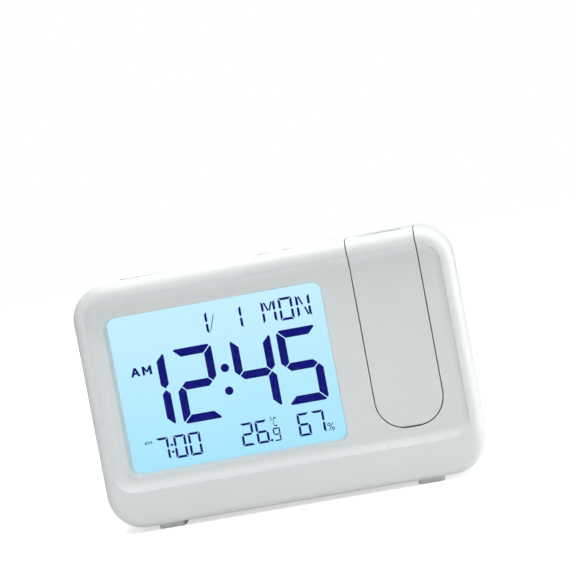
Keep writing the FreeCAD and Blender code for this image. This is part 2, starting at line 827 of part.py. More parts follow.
# Rear housing
def rear_case():
    body = new_body("rear_moulding")
    outline = sketch_in(body, "XZ", "split_y", "rear_outline")
    round_box(outline, "0", "mid_z", "case_width", "case_height", "corner_radius")
    feature(body, "Pad", "rear_block", outline, "rear_y - split_y", reverse=True)
    back = value("rear_y")
    fillet(body, "rear_softened",
           lambda edge: at(edge.BoundBox.YMin, back) and at(edge.BoundBox.YMax, back),
           "rear_edge_round")
    hollow = sketch_in(body, "XZ", "split_y", "rear_hollow_outline")
    round_box(hollow, "0", "mid_z", "case_width - 2 * wall", "case_height - 2 * wall",
              "corner_radius - wall")
    feature(body, "Pocket", "rear_hollow", hollow, "inner_rear_y - split_y")

    pillars = sketch_in(body, "XZ", "inner_rear_y", "rear_pillar_outline")
    for x, z in case_screw_places():
        circle(pillars, x, z, "case_boss_radius")
    feature(body, "Pad", "rear_pillars", pillars, "inner_rear_y - split_y")
    shanks = sketch_in(body, "XZ", "rear_y", "rear_shank_outline")
    for x, z in case_screw_places():
        circle(shanks, x, z, "case_screw_radius + head_gap")
    feature(body, "Pocket", "rear_shank_holes", shanks, "rear_y - split_y", reverse=True)
    heads = sketch_in(body, "XZ", "rear_y", "rear_head_outline")
    for x, z in case_screw_places():
        circle(heads, x, z, "case_head_radius + head_gap")
    feature(body, "Pocket", "rear_head_holes", heads, "head_sink", reverse=True)

    bay = sketch_in(body, "XZ", "bay_floor_y - bay_wall", "bay_outline")
    square(bay, "bay_x", "bay_low + bay_height / 2", "bay_length + 2 * bay_wall",
           "bay_height + 2 * bay_wall")
    feature(body, "Pad", "bay_block", bay, "inner_rear_y - bay_floor_y + bay_wall", reverse=True)
    inside = sketch_in(body, "XZ", "rear_y", "bay_inside_outline")
    square(inside, "bay_x", "bay_low + bay_height / 2", "bay_length", "bay_height")
    feature(body, "Pocket", "bay_inside", inside, "rear_y - bay_floor_y", reverse=True)
    doorway = sketch_in(body, "XZ", "rear_y", "doorway_outline")
    square(doorway, "bay_x", "bay_low + bay_height / 2", "door_width + 2 * door_gap",
           "door_height + 2 * door_gap")
    feature(body, "Pocket", "doorway", doorway, "wall", reverse=True)
    tabs = sketch_in(body, "XZ", "inner_rear_y", "tab_room_outline")
    for x in door_tab_places():
        square(tabs, x, "door_low - door_gap - door_tab_reach / 2 + bay_wall / 2",
               "door_tab_width + 4 * door_gap", "door_tab_reach + 2 * door_gap + bay_wall")
    feature(body, "Pocket", "tab_room", tabs, "door_tab_reach + door_tab_thickness", reverse=True)

    panel = sketch_in(body, "XZ", "rear_y", "panel_outline")
    round_box(panel, "(panel_left + panel_right) / 2", "control_z", "panel_right - panel_left",
              "panel_height", "panel_corner")
    feature(body, "Pocket", "panel", panel, "panel_sink", reverse=True)
    keys = sketch_in(body, "XZ", "rear_y", "rear_key_holes")
    for x in rear_key_places():
        round_box(keys, x, "control_z", "rear_key_width + 2 * key_gap",
                  "rear_key_height + 2 * key_gap", "rear_key_height / 2 + key_gap - end_flat")
    square(keys, "slider_x + slider_travel / 2", "control_z",
           "slider_width + slider_travel + 2 * key_gap", "slider_height + 2 * key_gap")
    for step in (-1, 0, 1):
        square(keys, "sensor_x", f"control_z + {step} * slot_pitch", "slot_width", "slot_height")
    round_box(keys, "inlet_x", "inlet_z", "inlet_width + 2 * key_gap",
              "inlet_height + 2 * key_gap", "inlet_height / 2 + key_gap - end_flat")
    feature(body, "Pocket", "rear_holes", keys, "wall + overcut", reverse=True)

    sound = sketch_in(body, "XZ", "rear_y", "sound_outline")
    circle(sound, "sounder_x", "under_z + sounder_rise", "sound_hole_radius")
    for step in range(SIZES["sound_hole_count"]):
        turn = 2 * math.pi * step / SIZES["sound_hole_count"]
        across = math.cos(turn)
        up = math.sin(turn)
        circle(sound, f"sounder_x + sound_hole_ring * {across:.6f}",
               f"under_z + sounder_rise + sound_hole_ring * {up:.6f}", "sound_hole_radius")
    feature(body, "Pocket", "sound_holes", sound, "wall + overcut", reverse=True)

    posts = sketch_in(body, "XZ", "inner_rear_y", "rear_post_outline")
    for x in rear_post_places():
        circle(posts, x, "control_z", "board_boss_radius")
        circle(posts, x, "control_z", "small_screw_radius + thread_gap")
    feature(body, "Pad", "rear_posts", posts, "inner_rear_y - rear_board_y")

    ribs = sketch_in(body, "XY", "inner_low_z", "power_rib_outline")
    for side in ("-", "+"):
        square(ribs, f"inlet_x {side} power_board_width / 3",
               "inner_rear_y - power_board_depth / 2 + overcut", "wall / 2", "power_board_depth")
    feature(body, "Pad", "power_ribs", ribs,
            "inlet_z - inlet_height / 2 - board_thickness - inner_low_z")

    seats = sketch_in(body, "XY", "under_z", "rear_foot_seats")
    for x in ("-foot_spacing / 2", "foot_spacing / 2"):
        round_box(seats, x, "foot_y", "foot_width", "foot_depth", "foot_round")
    feature(body, "Pocket", "rear_seats", seats, "foot_seat", reverse=True)
    keep("rear_case", body)


def door_tab_places():
    return ["bay_x - door_width / 4", "bay_x + door_width / 4"]


def rear_key_places():
    return [f"rear_key_x + {step} * rear_key_pitch" for step in range(SIZES["rear_key_count"])]


def rear_post_places():
    return ["rear_key_x + rear_key_pitch / 2", "rear_key_x + 2.5 * rear_key_pitch",
            "slider_x - slider_post_side"]


# Feet
def feet():
    for label, y in (("front_feet", "-foot_y"), ("rear_feet", "foot_y")):
        pads = []
        for side, x in (("left", "-foot_spacing / 2"), ("right", "foot_spacing / 2")):
            body = new_body(f"{label}_{side}")
            outline = sketch_in(body, "XY", "0", f"{label}_{side}_outline")
            round_box(outline, x, y, "foot_width", "foot_depth", "foot_round")
            feature(body, "Pad", f"{label}_{side}_pad", outline, "foot_height + foot_seat")
            fillet(body, f"{label}_{side}_soft",
                   lambda edge: at(edge.BoundBox.ZMin, 0) and at(edge.BoundBox.ZMax, 0),
                   "foot_edge")
            pads.append(body)
        keep(label, group(label + "_pair", pads))


# Display
def layer(label, y, thickness, margin, low_margin, corner):
    """A flat sheet of the display's stack, wider than the window by a margin."""
    body = new_body(label + "_sheet")
    outline = sketch_in(body, "XZ", y, label + "_outline")
    round_box(outline, "window_x", f"window_low + (window_height + {margin} - ({low_margin})) / 2",
              f"window_width + 2 * ({margin})", f"window_height + {margin} + {low_margin}", corner)
    feature(body, "Pad", label + "_pad", outline, thickness, reverse=True)
    return body


def display():
    keep("display_window",
         layer("display_window", "pane_y", "pane_thickness", "pane_margin", "pane_margin",
               "pane_corner"))
    keep("lcd_cell",
         layer("lcd_cell", "cell_y", "cell_thickness", "cell_margin", "contact_ledge",
               "cell_corner"))
    keep("light_guide",
         layer("light_guide", "guide_y", "guide_thickness", "guide_margin", "guide_margin",
               "guide_corner"))
    keep("backlight_strip",
         box("backlight_bar", "window_right + guide_margin + layer_gap", "guide_y",
             "window_low + strip_end", "strip_width", "guide_thickness",
             "window_height - 2 * strip_end"))

    tray = new_body("display_tray")
    outline = sketch_in(tray, "XZ", "pane_y", "tray_outline")
    wide = "window_width + 2 * (tray_margin + tray_wall)"
    middle = "(tray_low - tray_wall + window_top + tray_margin + tray_wall) / 2"
    tall = "window_top + tray_margin - tray_low + 2 * tray_wall"
    round_box(outline, "window_x", middle, wide, tall, "tray_corner")
    feature(tray, "Pad", "tray_block", outline, "tray_y + tray_back - pane_y", reverse=True)
    inside = sketch_in(tray, "XZ", "pane_y", "tray_inside_outline")
    round_box(inside, "window_x", middle, "window_width + 2 * tray_margin",
              "window_top + tray_margin - tray_low", "tray_inner_corner")
    feature(tray, "Pocket", "tray_inside", inside, "tray_y - pane_y")
    slot = sketch_in(tray, "XZ", "tray_y", "tray_slot_outline")
    square(slot, "window_x", "connector_z", "window_width - 2 * connector_end + 2 * layer_gap",
           "connector_width + 2 * layer_gap")
    feature(tray, "Pocket", "tray_slot", slot, "tray_back")
    keep("display_frame", tray)
    keep("lcd_connector",
         box("connector_bar", "window_left + connector_end", "cell_y + cell_thickness",
             "connector_z - connector_width / 2", "window_width - 2 * connector_end",
             "board_y - cell_y - cell_thickness", "connector_width"))


# Boards and what they carry
def pierced_board(label, outline, thickness, places, plane, offset, reverse):
    """A board with a clearance hole for each of its screws."""
    body = new_body(label + "_blank")
    sketch = sketch_in(body, plane, offset, label + "_outline")
    round_box(sketch, *outline, "board_corner")
    for x, y in places:
        circle(sketch, x, y, "small_screw_radius + thread_gap")
    feature(body, "Pad", label + "_pad", sketch, thickness, reverse=reverse)
    return keep(label, body)


def small_screw(name, axis, x, y, z, reverse=False):
    """A pan head screw with a cross slot, its head's seat at a place, its shank along an axis."""
    along = {"X": x, "Y": y, "Z": z}
    shank_from = dict(along)
    head_from = dict(along)
    if reverse:
        shank_from[axis] = f"{along[axis]} - small_screw_length"
    else:
        head_from[axis] = f"{along[axis]} - small_head_height"
    shank = rod(name + "_shank", axis, *shank_from.values(), "small_screw_radius",
                "small_screw_length")
    head = rod(name + "_head", axis, *head_from.values(), "small_head_radius",
               "small_head_height")
    slots = []
    across = [direction for direction in "XYZ" if direction != axis]
    for long_way in across:
        low = dict(along)
        sizes = {}
        for direction in across:
            size = "small_slot_length" if direction == long_way else "small_slot_width"
            low[direction] = f"{along[direction]} - {size} / 2"
            sizes[direction] = size
        sizes[axis] = "small_head_height / 2"
        step = "+ small_head_height / 2" if reverse else "- small_head_height"
        low[axis] = f"{along[axis]} {step}"
        slots.append(box(name + "_slot_" + long_way, *low.values(),
                         sizes["X"], sizes["Y"], sizes["Z"]))
    return cut(name, fuse(name + "_blank", shank, head), *slots)


def boards():
    holes = [(x, z) for x in ("window_left - board_boss_side", "window_right + board_boss_side")
             for z in ("board_boss_low", "board_boss_high")]
    pierced_board("main_board",
                  ("(board_left + board_right) / 2", "board_low + board_rise / 2",
                   "board_right - board_left", "board_rise"),
                  "board_thickness", holes, "XZ", "board_y", True)
    keep("board_screws",
         group("board_screw_set", [small_screw(f"board_screw_{number}", "Y", x, "board_back_y", z,
                                               reverse=True)
                                   for number, (x, z) in enumerate(holes)]))
    keep("clock_chip",
         box("clock_chip_body", "window_x - chip_side / 2", "board_back_y",
             "window_low + chip_rise", "chip_side", "chip_height", "chip_side"))
    keep("quartz_crystal",
         rod("crystal_can", "X", "window_x + crystal_offset", "board_back_y + crystal_radius",
             "window_low + crystal_rise", "crystal_radius", "crystal_length"))
    keep("lead_connector",
         box("lead_connector_body", "board_right - plug_end", "board_y - plug_depth",
             "pivot_z - plug_height / 2", "plug_width", "plug_depth", "plug_height"))

    posts = [(x, "control_z") for x in rear_post_places()]
    pierced_board("rear_key_board",
                  ("(rear_board_left + rear_board_right) / 2", "control_z",
                   "rear_board_right - rear_board_left", "rear_board_height"),
                  "board_thickness", posts, "XZ", "rear_board_y - board_thickness", True)
    switches = [box(f"rear_switch_{number}", f"{x} - switch_side / 2", "rear_board_y",
                    "control_z - switch_side / 2", "switch_side", "switch_height", "switch_side")
                for number, x in enumerate(rear_key_places())]
    keep("rear_switches", group("rear_switch_set", switches))
    keep("slide_switch_base",
         box("slide_base", "slider_x + slider_travel / 2 - slider_base_width / 2", "rear_board_y",
             "control_z - slider_base_height / 2", "slider_base_width", "switch_height",
             "slider_base_height"))
    keep("temperature_sensor",
         box("sensor_block", "sensor_x - sensor_side / 2", "rear_board_y",
             "control_z - sensor_side / 2", "sensor_side", "sensor_height", "sensor_side"))
    keep("rear_board_screws",
         group("rear_board_screw_set",
               [small_screw(f"rear_board_screw_{number}", "Y", x, "rear_board_y - board_thickness",
                            z)
                for number, (x, z) in enumerate(posts)]))

    top_posts = [(x, "key_y") for x in top_post_places()]
    pierced_board("top_key_board",
                  ("(top_board_left + top_board_right) / 2", "key_y",
                   "top_board_right - top_board_left", "top_board_depth"),
                  "board_thickness", top_posts, "XY", "top_board_z - board_thickness", False)
    top_switches = [box(f"top_switch_{number}", f"{x} - switch_side / 2",
                        "key_y - switch_side / 2", "top_board_z", "switch_side", "switch_side",
                        "switch_height")
                    for number, x in enumerate(top_key_places())]
    keep("top_switches", group("top_switch_set", top_switches))
    keep("top_board_screws",
         group("top_board_screw_set",
               [small_screw(f"top_board_screw_{number}", "Z", x, y,
                            "top_board_z - board_thickness")
                for number, (x, y) in enumerate(top_posts)]))

    power = "inlet_z - inlet_height / 2"
    keep("power_board",
         box("power_board_blank", "inlet_x - power_board_width / 2",
             "inner_rear_y - power_board_depth", f"{power} - board_thickness",
             "power_board_width", "power_board_depth", "board_thickness"))
    socket = new_body("inlet_shell")
    outline = sketch_in(socket, "XZ", "rear_y - inlet_sink", "inlet_outline")
    round_box(outline, "inlet_x", "inlet_z", "inlet_width", "inlet_height",
              "inlet_height / 2 - end_flat")
    feature(socket, "Pad", "inlet_pad", outline, "inlet_depth")
    mouth = sketch_in(socket, "XZ", "rear_y - inlet_sink", "inlet_mouth_outline")
    round_box(mouth, "inlet_x", "inlet_z", "inlet_width - 2 * inlet_lip",
              "inlet_height - 2 * inlet_lip", "inlet_height / 2 - inlet_lip - end_flat")
    round_box(mouth, "inlet_x", "inlet_z", "tongue_width", "tongue_thickness", "tongue_corner")
    feature(socket, "Pocket", "inlet_mouth", mouth, "inlet_depth - inlet_floor", reverse=True)
    keep("power_inlet", socket)
    keep("sounder",
         cut("sounder_can",
             rod("sounder_disc", "Y", "sounder_x", "inner_rear_y - sounder_height",
                 "under_z + sounder_rise", "sounder_radius", "sounder_height"),
             rod("sounder_port", "Y", "sounder_x", "inner_rear_y - port_depth",
                 "under_z + sounder_rise", "sounder_radius - port_margin", "port_depth")))


def top_key_places():
    return ["snooze_x", "top_key_x", "top_key_x + top_key_pitch"]


def case_screws():
    screws = []
    for number, (x, z) in enumerate(case_screw_places()):
        body = new_body(f"case_screw_{number}")
        outline = sketch_in(body, "XZ", "rear_y - head_sink", f"case_screw_{number}_outline")
        circle(outline, x, z, "case_screw_radius")
        feature(body, "Pad", f"case_screw_{number}_shank", outline, "case_screw_length")
        head = sketch_in(body, "XZ", "rear_y - head_sink", f"case_screw_{number}_head_outline")
        circle(head, x, z, "case_head_radius")
        feature(body, "Pad", f"case_screw_{number}_head", head, "case_head_height", reverse=True)
        cross = sketch_in(body, "XZ", "rear_y - head_sink + case_head_height",
                          f"case_screw_{number}_cross")
        cross_slot(cross, x, z, "case_slot_reach", "case_slot_half")
        feature(body, "Pocket", f"case_screw_{number}_slot", cross, "case_slot_depth",
                reverse=True)
        screws.append(body)
    keep("case_screws", group("case_screw_set", screws))


def cross_slot(sketch, x, y, reach, half):
    """A plus sign about a centre."""
    corners = []
    for ax, ay in ((1, 0), (0, 1), (-1, 0), (0, -1)):
        for side in (-1, 1):
            px = f"{x} + {ax} * ({reach}) - {ay * side} * ({half})"
            py = f"{y} + {ay} * ({reach}) + {ax * side} * ({half})"
            corners.append((px, py))
        bx, by = ax - ay, ay + ax
        corners.append((f"{x} + {bx} * ({half})", f"{y} + {by} * ({half})"))
    trace(sketch, corners)


# Keys
def pressed_key(label, plane, x, y, face, wall_inner, switch, width, height):
    """A key with a crowned cap, a flange behind the wall that keeps it in, and a stem."""
    body = new_body(label + "_moulding")
    radius = f"({height} / 2 - end_flat)"
    cap = sketch_in(body, plane, wall_inner, label + "_cap_outline")
    round_box(cap, x, y, width, height, radius)
    outward = plane == "XY"
    feature(body, "Pad", label + "_cap", cap, f"({face}) - ({wall_inner})", reverse=not outward)
    top = value(face)
    low = "ZMin" if outward else "YMin"
    fillet(body, label + "_crown",
           lambda edge: at(getattr(edge.BoundBox, low), top), "key_crown")
    flange = sketch_in(body, plane, f"{wall_inner} - fit_gap", label + "_flange_outline")
    round_box(flange, x, y, f"{width} + 2 * key_flange", f"{height} + 2 * key_flange",
              f"{height} / 2 + key_flange - end_flat")
    feature(body, "Pad", label + "_flange", flange, "flange_thickness", reverse=outward)
    neck = sketch_in(body, plane, f"{wall_inner} - fit_gap", label + "_neck_outline")
    round_box(neck, x, y, width, height, radius)
    feature(body, "Pad", label + "_neck", neck, "fit_gap + overcut",
            reverse=not outward)
    stem = sketch_in(body, plane, f"{wall_inner} - fit_gap - flange_thickness",
                     label + "_stem_outline")
    circle(stem, x, y, "stem_radius")
    feature(body, "Pad", label + "_stem", stem,
            f"({wall_inner}) - fit_gap - flange_thickness - ({switch})", reverse=outward)
    keep(label, body)


def keys():
    rest = "top_board_z + switch_height + key_travel + fit_gap"
    face = "top_z + key_proud"
    pressed_key("snooze_bar", "XY", "snooze_x", "key_y", face, "inner_top_z", rest,
                "snooze_length", "snooze_width")
    for label, x in zip(("top_key_left", "top_key_right"), top_key_places()[1:]):
        pressed_key(label, "XY", x, "key_y", face, "inner_top_z", rest,
                    "2 * top_key_radius", "2 * top_key_radius")
    rest = "rear_board_y + switch_height + key_travel + fit_gap"
    for label, x in zip(("set_key", "plus_key", "minus_key", "alarm_key"), rear_key_places()):
        pressed_key(label, "XZ", x, "control_z", "panel_y + rear_key_proud", "inner_rear_y", rest,
                    "rear_key_width", "rear_key_height")


def projection_switch_knob():
    body = new_body("slider_moulding")
    tab = sketch_in(body, "XZ", "rear_board_y + switch_height + fit_gap", "slider_tab_outline")
    square(tab, "slider_x", "control_z", "slider_width", "slider_height")
    feature(body, "Pad", "slider_tab", tab,
            "panel_y + rear_key_proud - rear_board_y - switch_height - fit_gap", reverse=True)
    plate = sketch_in(body, "XZ", "inner_rear_y - fit_gap", "slider_plate_outline")
    square(plate, "slider_x", "control_z",
           "slider_width + 2 * slider_travel + 2 * slider_plate_side",
           "slider_height + 2 * slider_plate_rim")
    feature(body, "Pad", "slider_plate", plate, "slider_plate")
    grooves = sketch_in(body, "XZ", "panel_y + rear_key_proud", "slider_groove_outline")
    for step in (-1, 0, 1):
        square(grooves, f"slider_x + {step} * slider_groove_pitch", "control_z",
               "slider_groove_width", "slider_height + overrun")
    feature(body, "Pocket", "slider_grooves", grooves, "slider_groove_depth", reverse=True)
    keep("projection_switch_knob", body)


# Batteries and their door
def battery_places():
    low = "(bay_low + fit_gap + cell_radius)"
    return [(low, False), (f"({low} + cell_pitch)", True)]


def power_store():
    cells = []
    plates = []
    for number, (z, turned) in enumerate(battery_places()):
        sprung = "bay_left + contact_thickness + contact_spring"
        start = "bay_left + contact_thickness" if turned else sprung
        body_start = f"{start} + nub_height" if turned else start
        nub_start = start if turned else f"{start} + cell_long - nub_height"
        can = rod(f"battery_can_{number}", "X", body_start, "battery_y", z, "cell_radius",
                  "cell_long - nub_height")
        nub = rod(f"battery_nub_{number}", "X", nub_start, "battery_y", z, "nub_radius",
                  "nub_height")
        cells.append(fuse(f"battery_{number}", can, nub))
        for side in ("left", "right"):
            edge = "bay_left"
            if side == "right":
                edge = "bay_left + bay_length - contact_thickness"
            plates.append(box(f"contact_{side}_{number}", edge, "battery_y - contact_width / 2",
                              f"{z} - contact_width / 2", "contact_thickness", "contact_width",
                              "contact_width"))
        spring_start = "bay_left + contact_thickness"
        if turned:
            spring_start = "bay_left + bay_length - contact_thickness - contact_spring"
        plates.append(contact_spring(f"contact_spring_{number}", spring_start, z, turned))
    keep("batteries", group("battery_pair", cells))
    keep("battery_contacts", group("battery_contact_set", plates))


def contact_spring(name, start, z, turned):
    """A folded leaf spring that presses on the battery's flat end."""
    leaf = free_sketch("XY", f"{z} - contact_width / 2 + leaf_inset", name + "_leaf")
    low = "battery_y - contact_width / 2"
    high = "battery_y + contact_width / 2"
    base = f"{start} + contact_spring" if turned else start
    sense = "-" if turned else "+"
    corners = [
        (base, low),
        (f"{base} {sense} contact_spring", "battery_y"),
        (base, high),
        (base, f"{high} - leaf_thickness"),
        (f"{base} {sense} (contact_spring - leaf_thickness)", "battery_y"),
        (base, f"{low} + leaf_thickness"),
    ]
    if turned:
        corners.reverse()
    trace(leaf, corners)
    strip = doc.addObject("Part::Extrusion", name)
    strip.Base = leaf
    strip.DirMode = "Custom"
    strip.Dir = Vector(0, 0, 1)
    strip.Solid = True
    bind(strip, "LengthFwd", "contact_width - 2 * leaf_inset")
    return strip


def battery_door():
    body = new_body("door_moulding")
    outline = sketch_in(body, "XZ", "door_y", "door_outline")
    middle = "door_low + door_height / 2"
    square(outline, "bay_x", middle, "door_width", "door_height")
    feature(body, "Pad", "door_plate", outline, "door_thickness", reverse=True)
    tabs = sketch_in(body, "XZ", "door_y", "door_tab_outline")
    for x in door_tab_places():
        square(tabs, x, "door_low + door_root / 2", "door_tab_width", "door_root")
    feature(body, "Pad", "door_tab_roots", tabs,
            "door_y - inner_rear_y + fit_gap + door_tab_thickness")
    hooks = sketch_in(body, "XZ", "inner_rear_y - fit_gap", "door_hook_outline")
    for x in door_tab_places():
        square(hooks, x, "door_low - (door_tab_reach - door_hook_root) / 2", "door_tab_width",
               "door_tab_reach + door_hook_root")
    feature(body, "Pad", "door_hooks", hooks, "door_tab_thickness")
    grips = sketch_in(body, "XZ", "rear_y", "door_grip_outline")
    for step in range(SIZES["door_grip_count"]):
        square(grips, "bay_x",
               f"door_low + door_height - door_grip_drop - {step} * door_grip_pitch",
               "door_grip_length", "door_grip_width")
    feature(body, "Pocket", "door_grips", grips, "door_grip_depth", reverse=True)
    keep("battery_door", body)


# Projector module
def prism(name, sketch, direction, length):
    item = doc.addObject("Part::Extrusion", name)
    item.Base = sketch
    item.DirMode = "Custom"
    item.Dir = direction
    item.Solid = True
    bind(item, "LengthFwd", length)
    return item


def module_blank():
    """The whole module as a solid: its side profile within its round-ended outline."""
    profile = free_sketch("YZ", "module_x - module_half", "module_profile")
    trace(profile, [
        ("floor_y + lip_round", "module_low_z"),
        ("pivot_y", "module_low_z", "pivot_rise", 1),
        ("module_back_y", "pivot_z"),
        ("module_back_y", "top_z"),
        ("front_y + edge_round", "top_z", "edge_round", 1),
        ("front_y", "top_z - edge_round"),
        ("front_y", "recess_top_z"),
        ("floor_y - cove_radius", "recess_top_z", "cove_radius", -1),
        ("floor_y", "recess_top_z - cove_radius"),
        ("floor_y", "module_low_z + lip_round", "lip_round", 1),
    ])
    side = prism("module_side", profile, Vector(1, 0, 0), "module_width")
    face = free_sketch("XZ", "front_y", "module_face")
    module_outline(face, "0", "top_z + overrun")
    front = prism("module_front", face, Vector(0, 1, 0), "module_depth + overrun")
    return common("module_blank", side, front)


def module_inside(blank_half):
    """The hollow of the module."""
    profile = free_sketch("YZ", f"module_x - ({blank_half})", "module_hollow_profile")
    trace(profile, [
        ("floor_y + module_wall", "module_low_z + module_wall"),
        ("pivot_y", "module_low_z + module_wall", "pivot_rise - module_wall", 1),
        ("module_back_y - module_wall", "pivot_z"),
        ("module_back_y - module_wall", "top_z - module_wall"),
        ("floor_y + module_wall", "top_z - module_wall"),
    ])
    tall = prism("module_hollow_tall", profile, Vector(1, 0, 0), f"2 * ({blank_half})")
    face = free_sketch("XZ", "floor_y", "module_hollow_face")
    module_outline(face, "(-module_wall)", "top_z - module_wall")
    front = prism("module_hollow_front", face, Vector(0, 1, 0), "module_depth")
    return common("module_hollow", tall, front)


def post_places():
    return [(f"module_x {side} post_side", f"module_low_z + post_{level}")
            for side in ("-", "+") for level in ("low", "high")]


def projector_shells():
    blank = module_blank()
    half = "(module_half - module_wall)"
    hollow = module_inside(half)
    ring_hole = rod("ring_hole", "Z", "module_x", "axis_y", "ring_low - overrun",
                    "ring_radius + ring_gap", "ring_skirt + 3 * overrun")

    def rear_region(name, gap):
        face = free_sketch("XZ", f"pivot_y + cover_setback + {gap}", name + "_face")
        module_outline(face, f"(-module_wall - {gap})", f"top_z - module_wall - {gap}")
        return prism(name, face, Vector(0, 1, 0), "case_depth")

    bosses = []
    bores = []
    for side, x in (("left", "module_x - module_half"),
                    ("right", "module_x + module_half - pin_inside")):
        bosses.append(rod(f"pin_boss_{side}", "X", x, "pivot_y", "pivot_z", "pin_boss_radius",
                          "pin_inside"))
        bores.append(rod(f"pin_hole_{side}", "X", f"{x} - overrun", "pivot_y", "pivot_z",
                         "pin_radius + pin_gap", "pin_inside + 2 * overrun"))
    posts = [rod(f"module_post_{number}", "Y", x, "floor_y + overrun", z, "post_radius",
                 "module_back_y - module_wall - fit_gap - floor_y - overrun")
             for number, (x, z) in enumerate(post_places())]
    pilots = [rod(f"module_pilot_{number}", "Y", x,
                  "module_back_y - module_wall - small_screw_length", z,
                  "small_screw_radius + thread_gap", "small_screw_length + overrun")
              for number, (x, z) in enumerate(post_places())]
    shell = cut("projector_front_shell", blank, hollow, rear_region("rear_room", "0"))
    inner = common("projector_bosses", fuse("projector_boss_set", *bosses), blank)
    whole = fuse("projector_front_whole", shell, inner, *posts)
    keep("projector_front", cut("projector_front_cut", whole, ring_hole, *bores, *pilots))

    rear = common("projector_back_blank", blank, rear_region("rear_part", "cover_gap"))
    holes = [rod(f"cover_hole_{number}", "Y", x, "module_back_y - module_wall - overrun", z,
                 "small_screw_radius + head_gap", "module_wall + 2 * overrun")
             for number, (x, z) in enumerate(post_places())]
    sinks = [rod(f"cover_sink_{number}", "Y", x, "module_back_y - small_head_height - fit_gap", z,
                 "small_head_radius + running_gap", "module_wall")
             for number, (x, z) in enumerate(post_places())]
    keep("projector_back", cut("projector_back_cut", rear, hollow, *holes, *sinks))
    keep("projector_screws",
         group("projector_screw_set",
               [small_screw(f"projector_screw_{number}", "Y", x,
                            "module_back_y - small_head_height - fit_gap", z, reverse=True)
                for number, (x, z) in enumerate(post_places())]))


def hinge():
    """Two hollow pins in the module's sides turn in the well's walls, each with a drag washer."""
    pins = []
    washers = []
    length = "pin_inside + well_side_gap + well_wall + pin_end"
    for side, x in (("left", "module_x - well_half - well_wall - pin_end"),
                    ("right", "module_x + module_half - pin_inside")):
        outer = rod(f"pin_{side}", "X", x, "pivot_y", "pivot_z", "pin_radius", length)
        bore = rod(f"pin_{side}_bore", "X", f"{x} - overrun", "pivot_y", "pivot_z", "pin_bore",
                   f"{length} + 2 * overrun")
        pins.append(cut(f"hinge_pin_{side}", outer, bore))
    thickness = "well_side_gap - washer_gap"
    for side, x in (("left", f"module_x - module_half - ({thickness})"),
                    ("right", "module_x + module_half")):
        disc = rod(f"washer_{side}", "X", x, "pivot_y", "pivot_z", "washer_radius", thickness)
        hole = rod(f"washer_{side}_hole", "X", f"{x} - overrun", "pivot_y", "pivot_z",
                   "pin_radius + pin_gap", f"{thickness} + 2 * overrun")
        washers.append(cut(f"friction_washer_{side}", disc, hole))
    keep("hinge_pins", group("hinge_pin_pair", pins))
    keep("friction_washers", group("friction_washer_pair", washers))


def well_profile(name, start, grow):
    """The well's side profile behind the face, grown by a wall."""
    profile = free_sketch("YZ", start, name)
    trace(profile, [
        ("floor_back_y", f"pivot_z - well_radius - {grow}"),
        ("pivot_y", f"pivot_z - well_radius - {grow}", f"well_radius + {grow}", 1),
        (f"pivot_y + well_radius + {grow}", "pivot_z"),
        (f"pivot_y + well_radius + {grow}", "inner_top_z - layer_gap"),
        ("floor_back_y", "inner_top_z - layer_gap"),
    ])
    return profile


def projector_cradle():
    """The well behind the module: a tub with the pivot holes, screwed behind the face."""
    outside = prism("well_outside",
                    well_profile("well_outside_profile", "module_x - well_half - well_wall",
                                 "well_wall"),
                    Vector(1, 0, 0), "2 * (well_half + well_wall)")
    inside = prism("well_inside",
                   well_profile("well_inside_profile", "module_x - well_half", "0"),
                   Vector(1, 0, 0), "2 * well_half")
    low = "pivot_z - well_radius - well_wall - flange_low"
    flange = box("well_flange_plate", "module_x - well_half - well_wall - flange_side",
                 "floor_back_y", low, "2 * (well_half + well_wall) + flange_side", "well_flange",
                 f"inner_top_z - layer_gap - ({low})")
    x, z = well_screw_places()[2]
    ear = rod("well_ear", "Y", x, "floor_back_y", z, "ear_radius", "well_flange")
    holes = [rod(f"well_screw_hole_{number}", "Y", x, "floor_back_y - overrun", z,
                 "small_screw_radius + head_gap", "well_flange + 2 * overrun")
             for number, (x, z) in enumerate(well_screw_places())]
    pivots = rod("well_pivot_holes", "X", "module_x - well_half - well_wall - overrun",
                 "pivot_y", "pivot_z", "pin_radius + running_gap",
                 "2 * (well_half + well_wall + overrun)")
    tub = cut("well_tub", fuse("well_whole", outside, flange, ear), inside, pivots, *holes)
    room = free_sketch("XZ", "floor_back_y", "well_room_outline")
    round_box(room, "0", "mid_z", "case_width - 2 * (wall + fit_gap)",
              "case_height - 2 * (wall + layer_gap)", "corner_radius - wall - fit_gap")
    keep("projector_cradle",
         common("well_trimmed", tub, prism("well_room", room, Vector(0, 1, 0), "case_depth")))
    keep("cradle_screws",
         group("cradle_screw_set",
               [small_screw(f"cradle_screw_{number}", "Y", x, "floor_back_y + well_flange", z,
                            reverse=True)
                for number, (x, z) in enumerate(well_screw_places())]))


# Optical train and focusing
def turned(label, corners):
    """A piece turned about the projector's upright axis, from its half profile."""
    body = new_body(label + "_turned")
    sketch = body.newObject("Sketcher::SketchObject", label + "_profile")
    origin = [part for part in body.Origin.OriginFeatures if part.Role == "XZ_Plane"][0]
    sketch.AttachmentSupport = [(origin, "")]
    sketch.MapMode = "FlatFace"
    trace(sketch, corners)
    revolution(body, label + "_revolved", sketch)
    bind(body, ".Placement.Base.x", "module_x")
    bind(body, ".Placement.Base.y", "axis_y")
    return body


def tube_corners(inner, outer, low, high):
    return [(inner, low), (outer, low), (outer, high), (inner, high)]


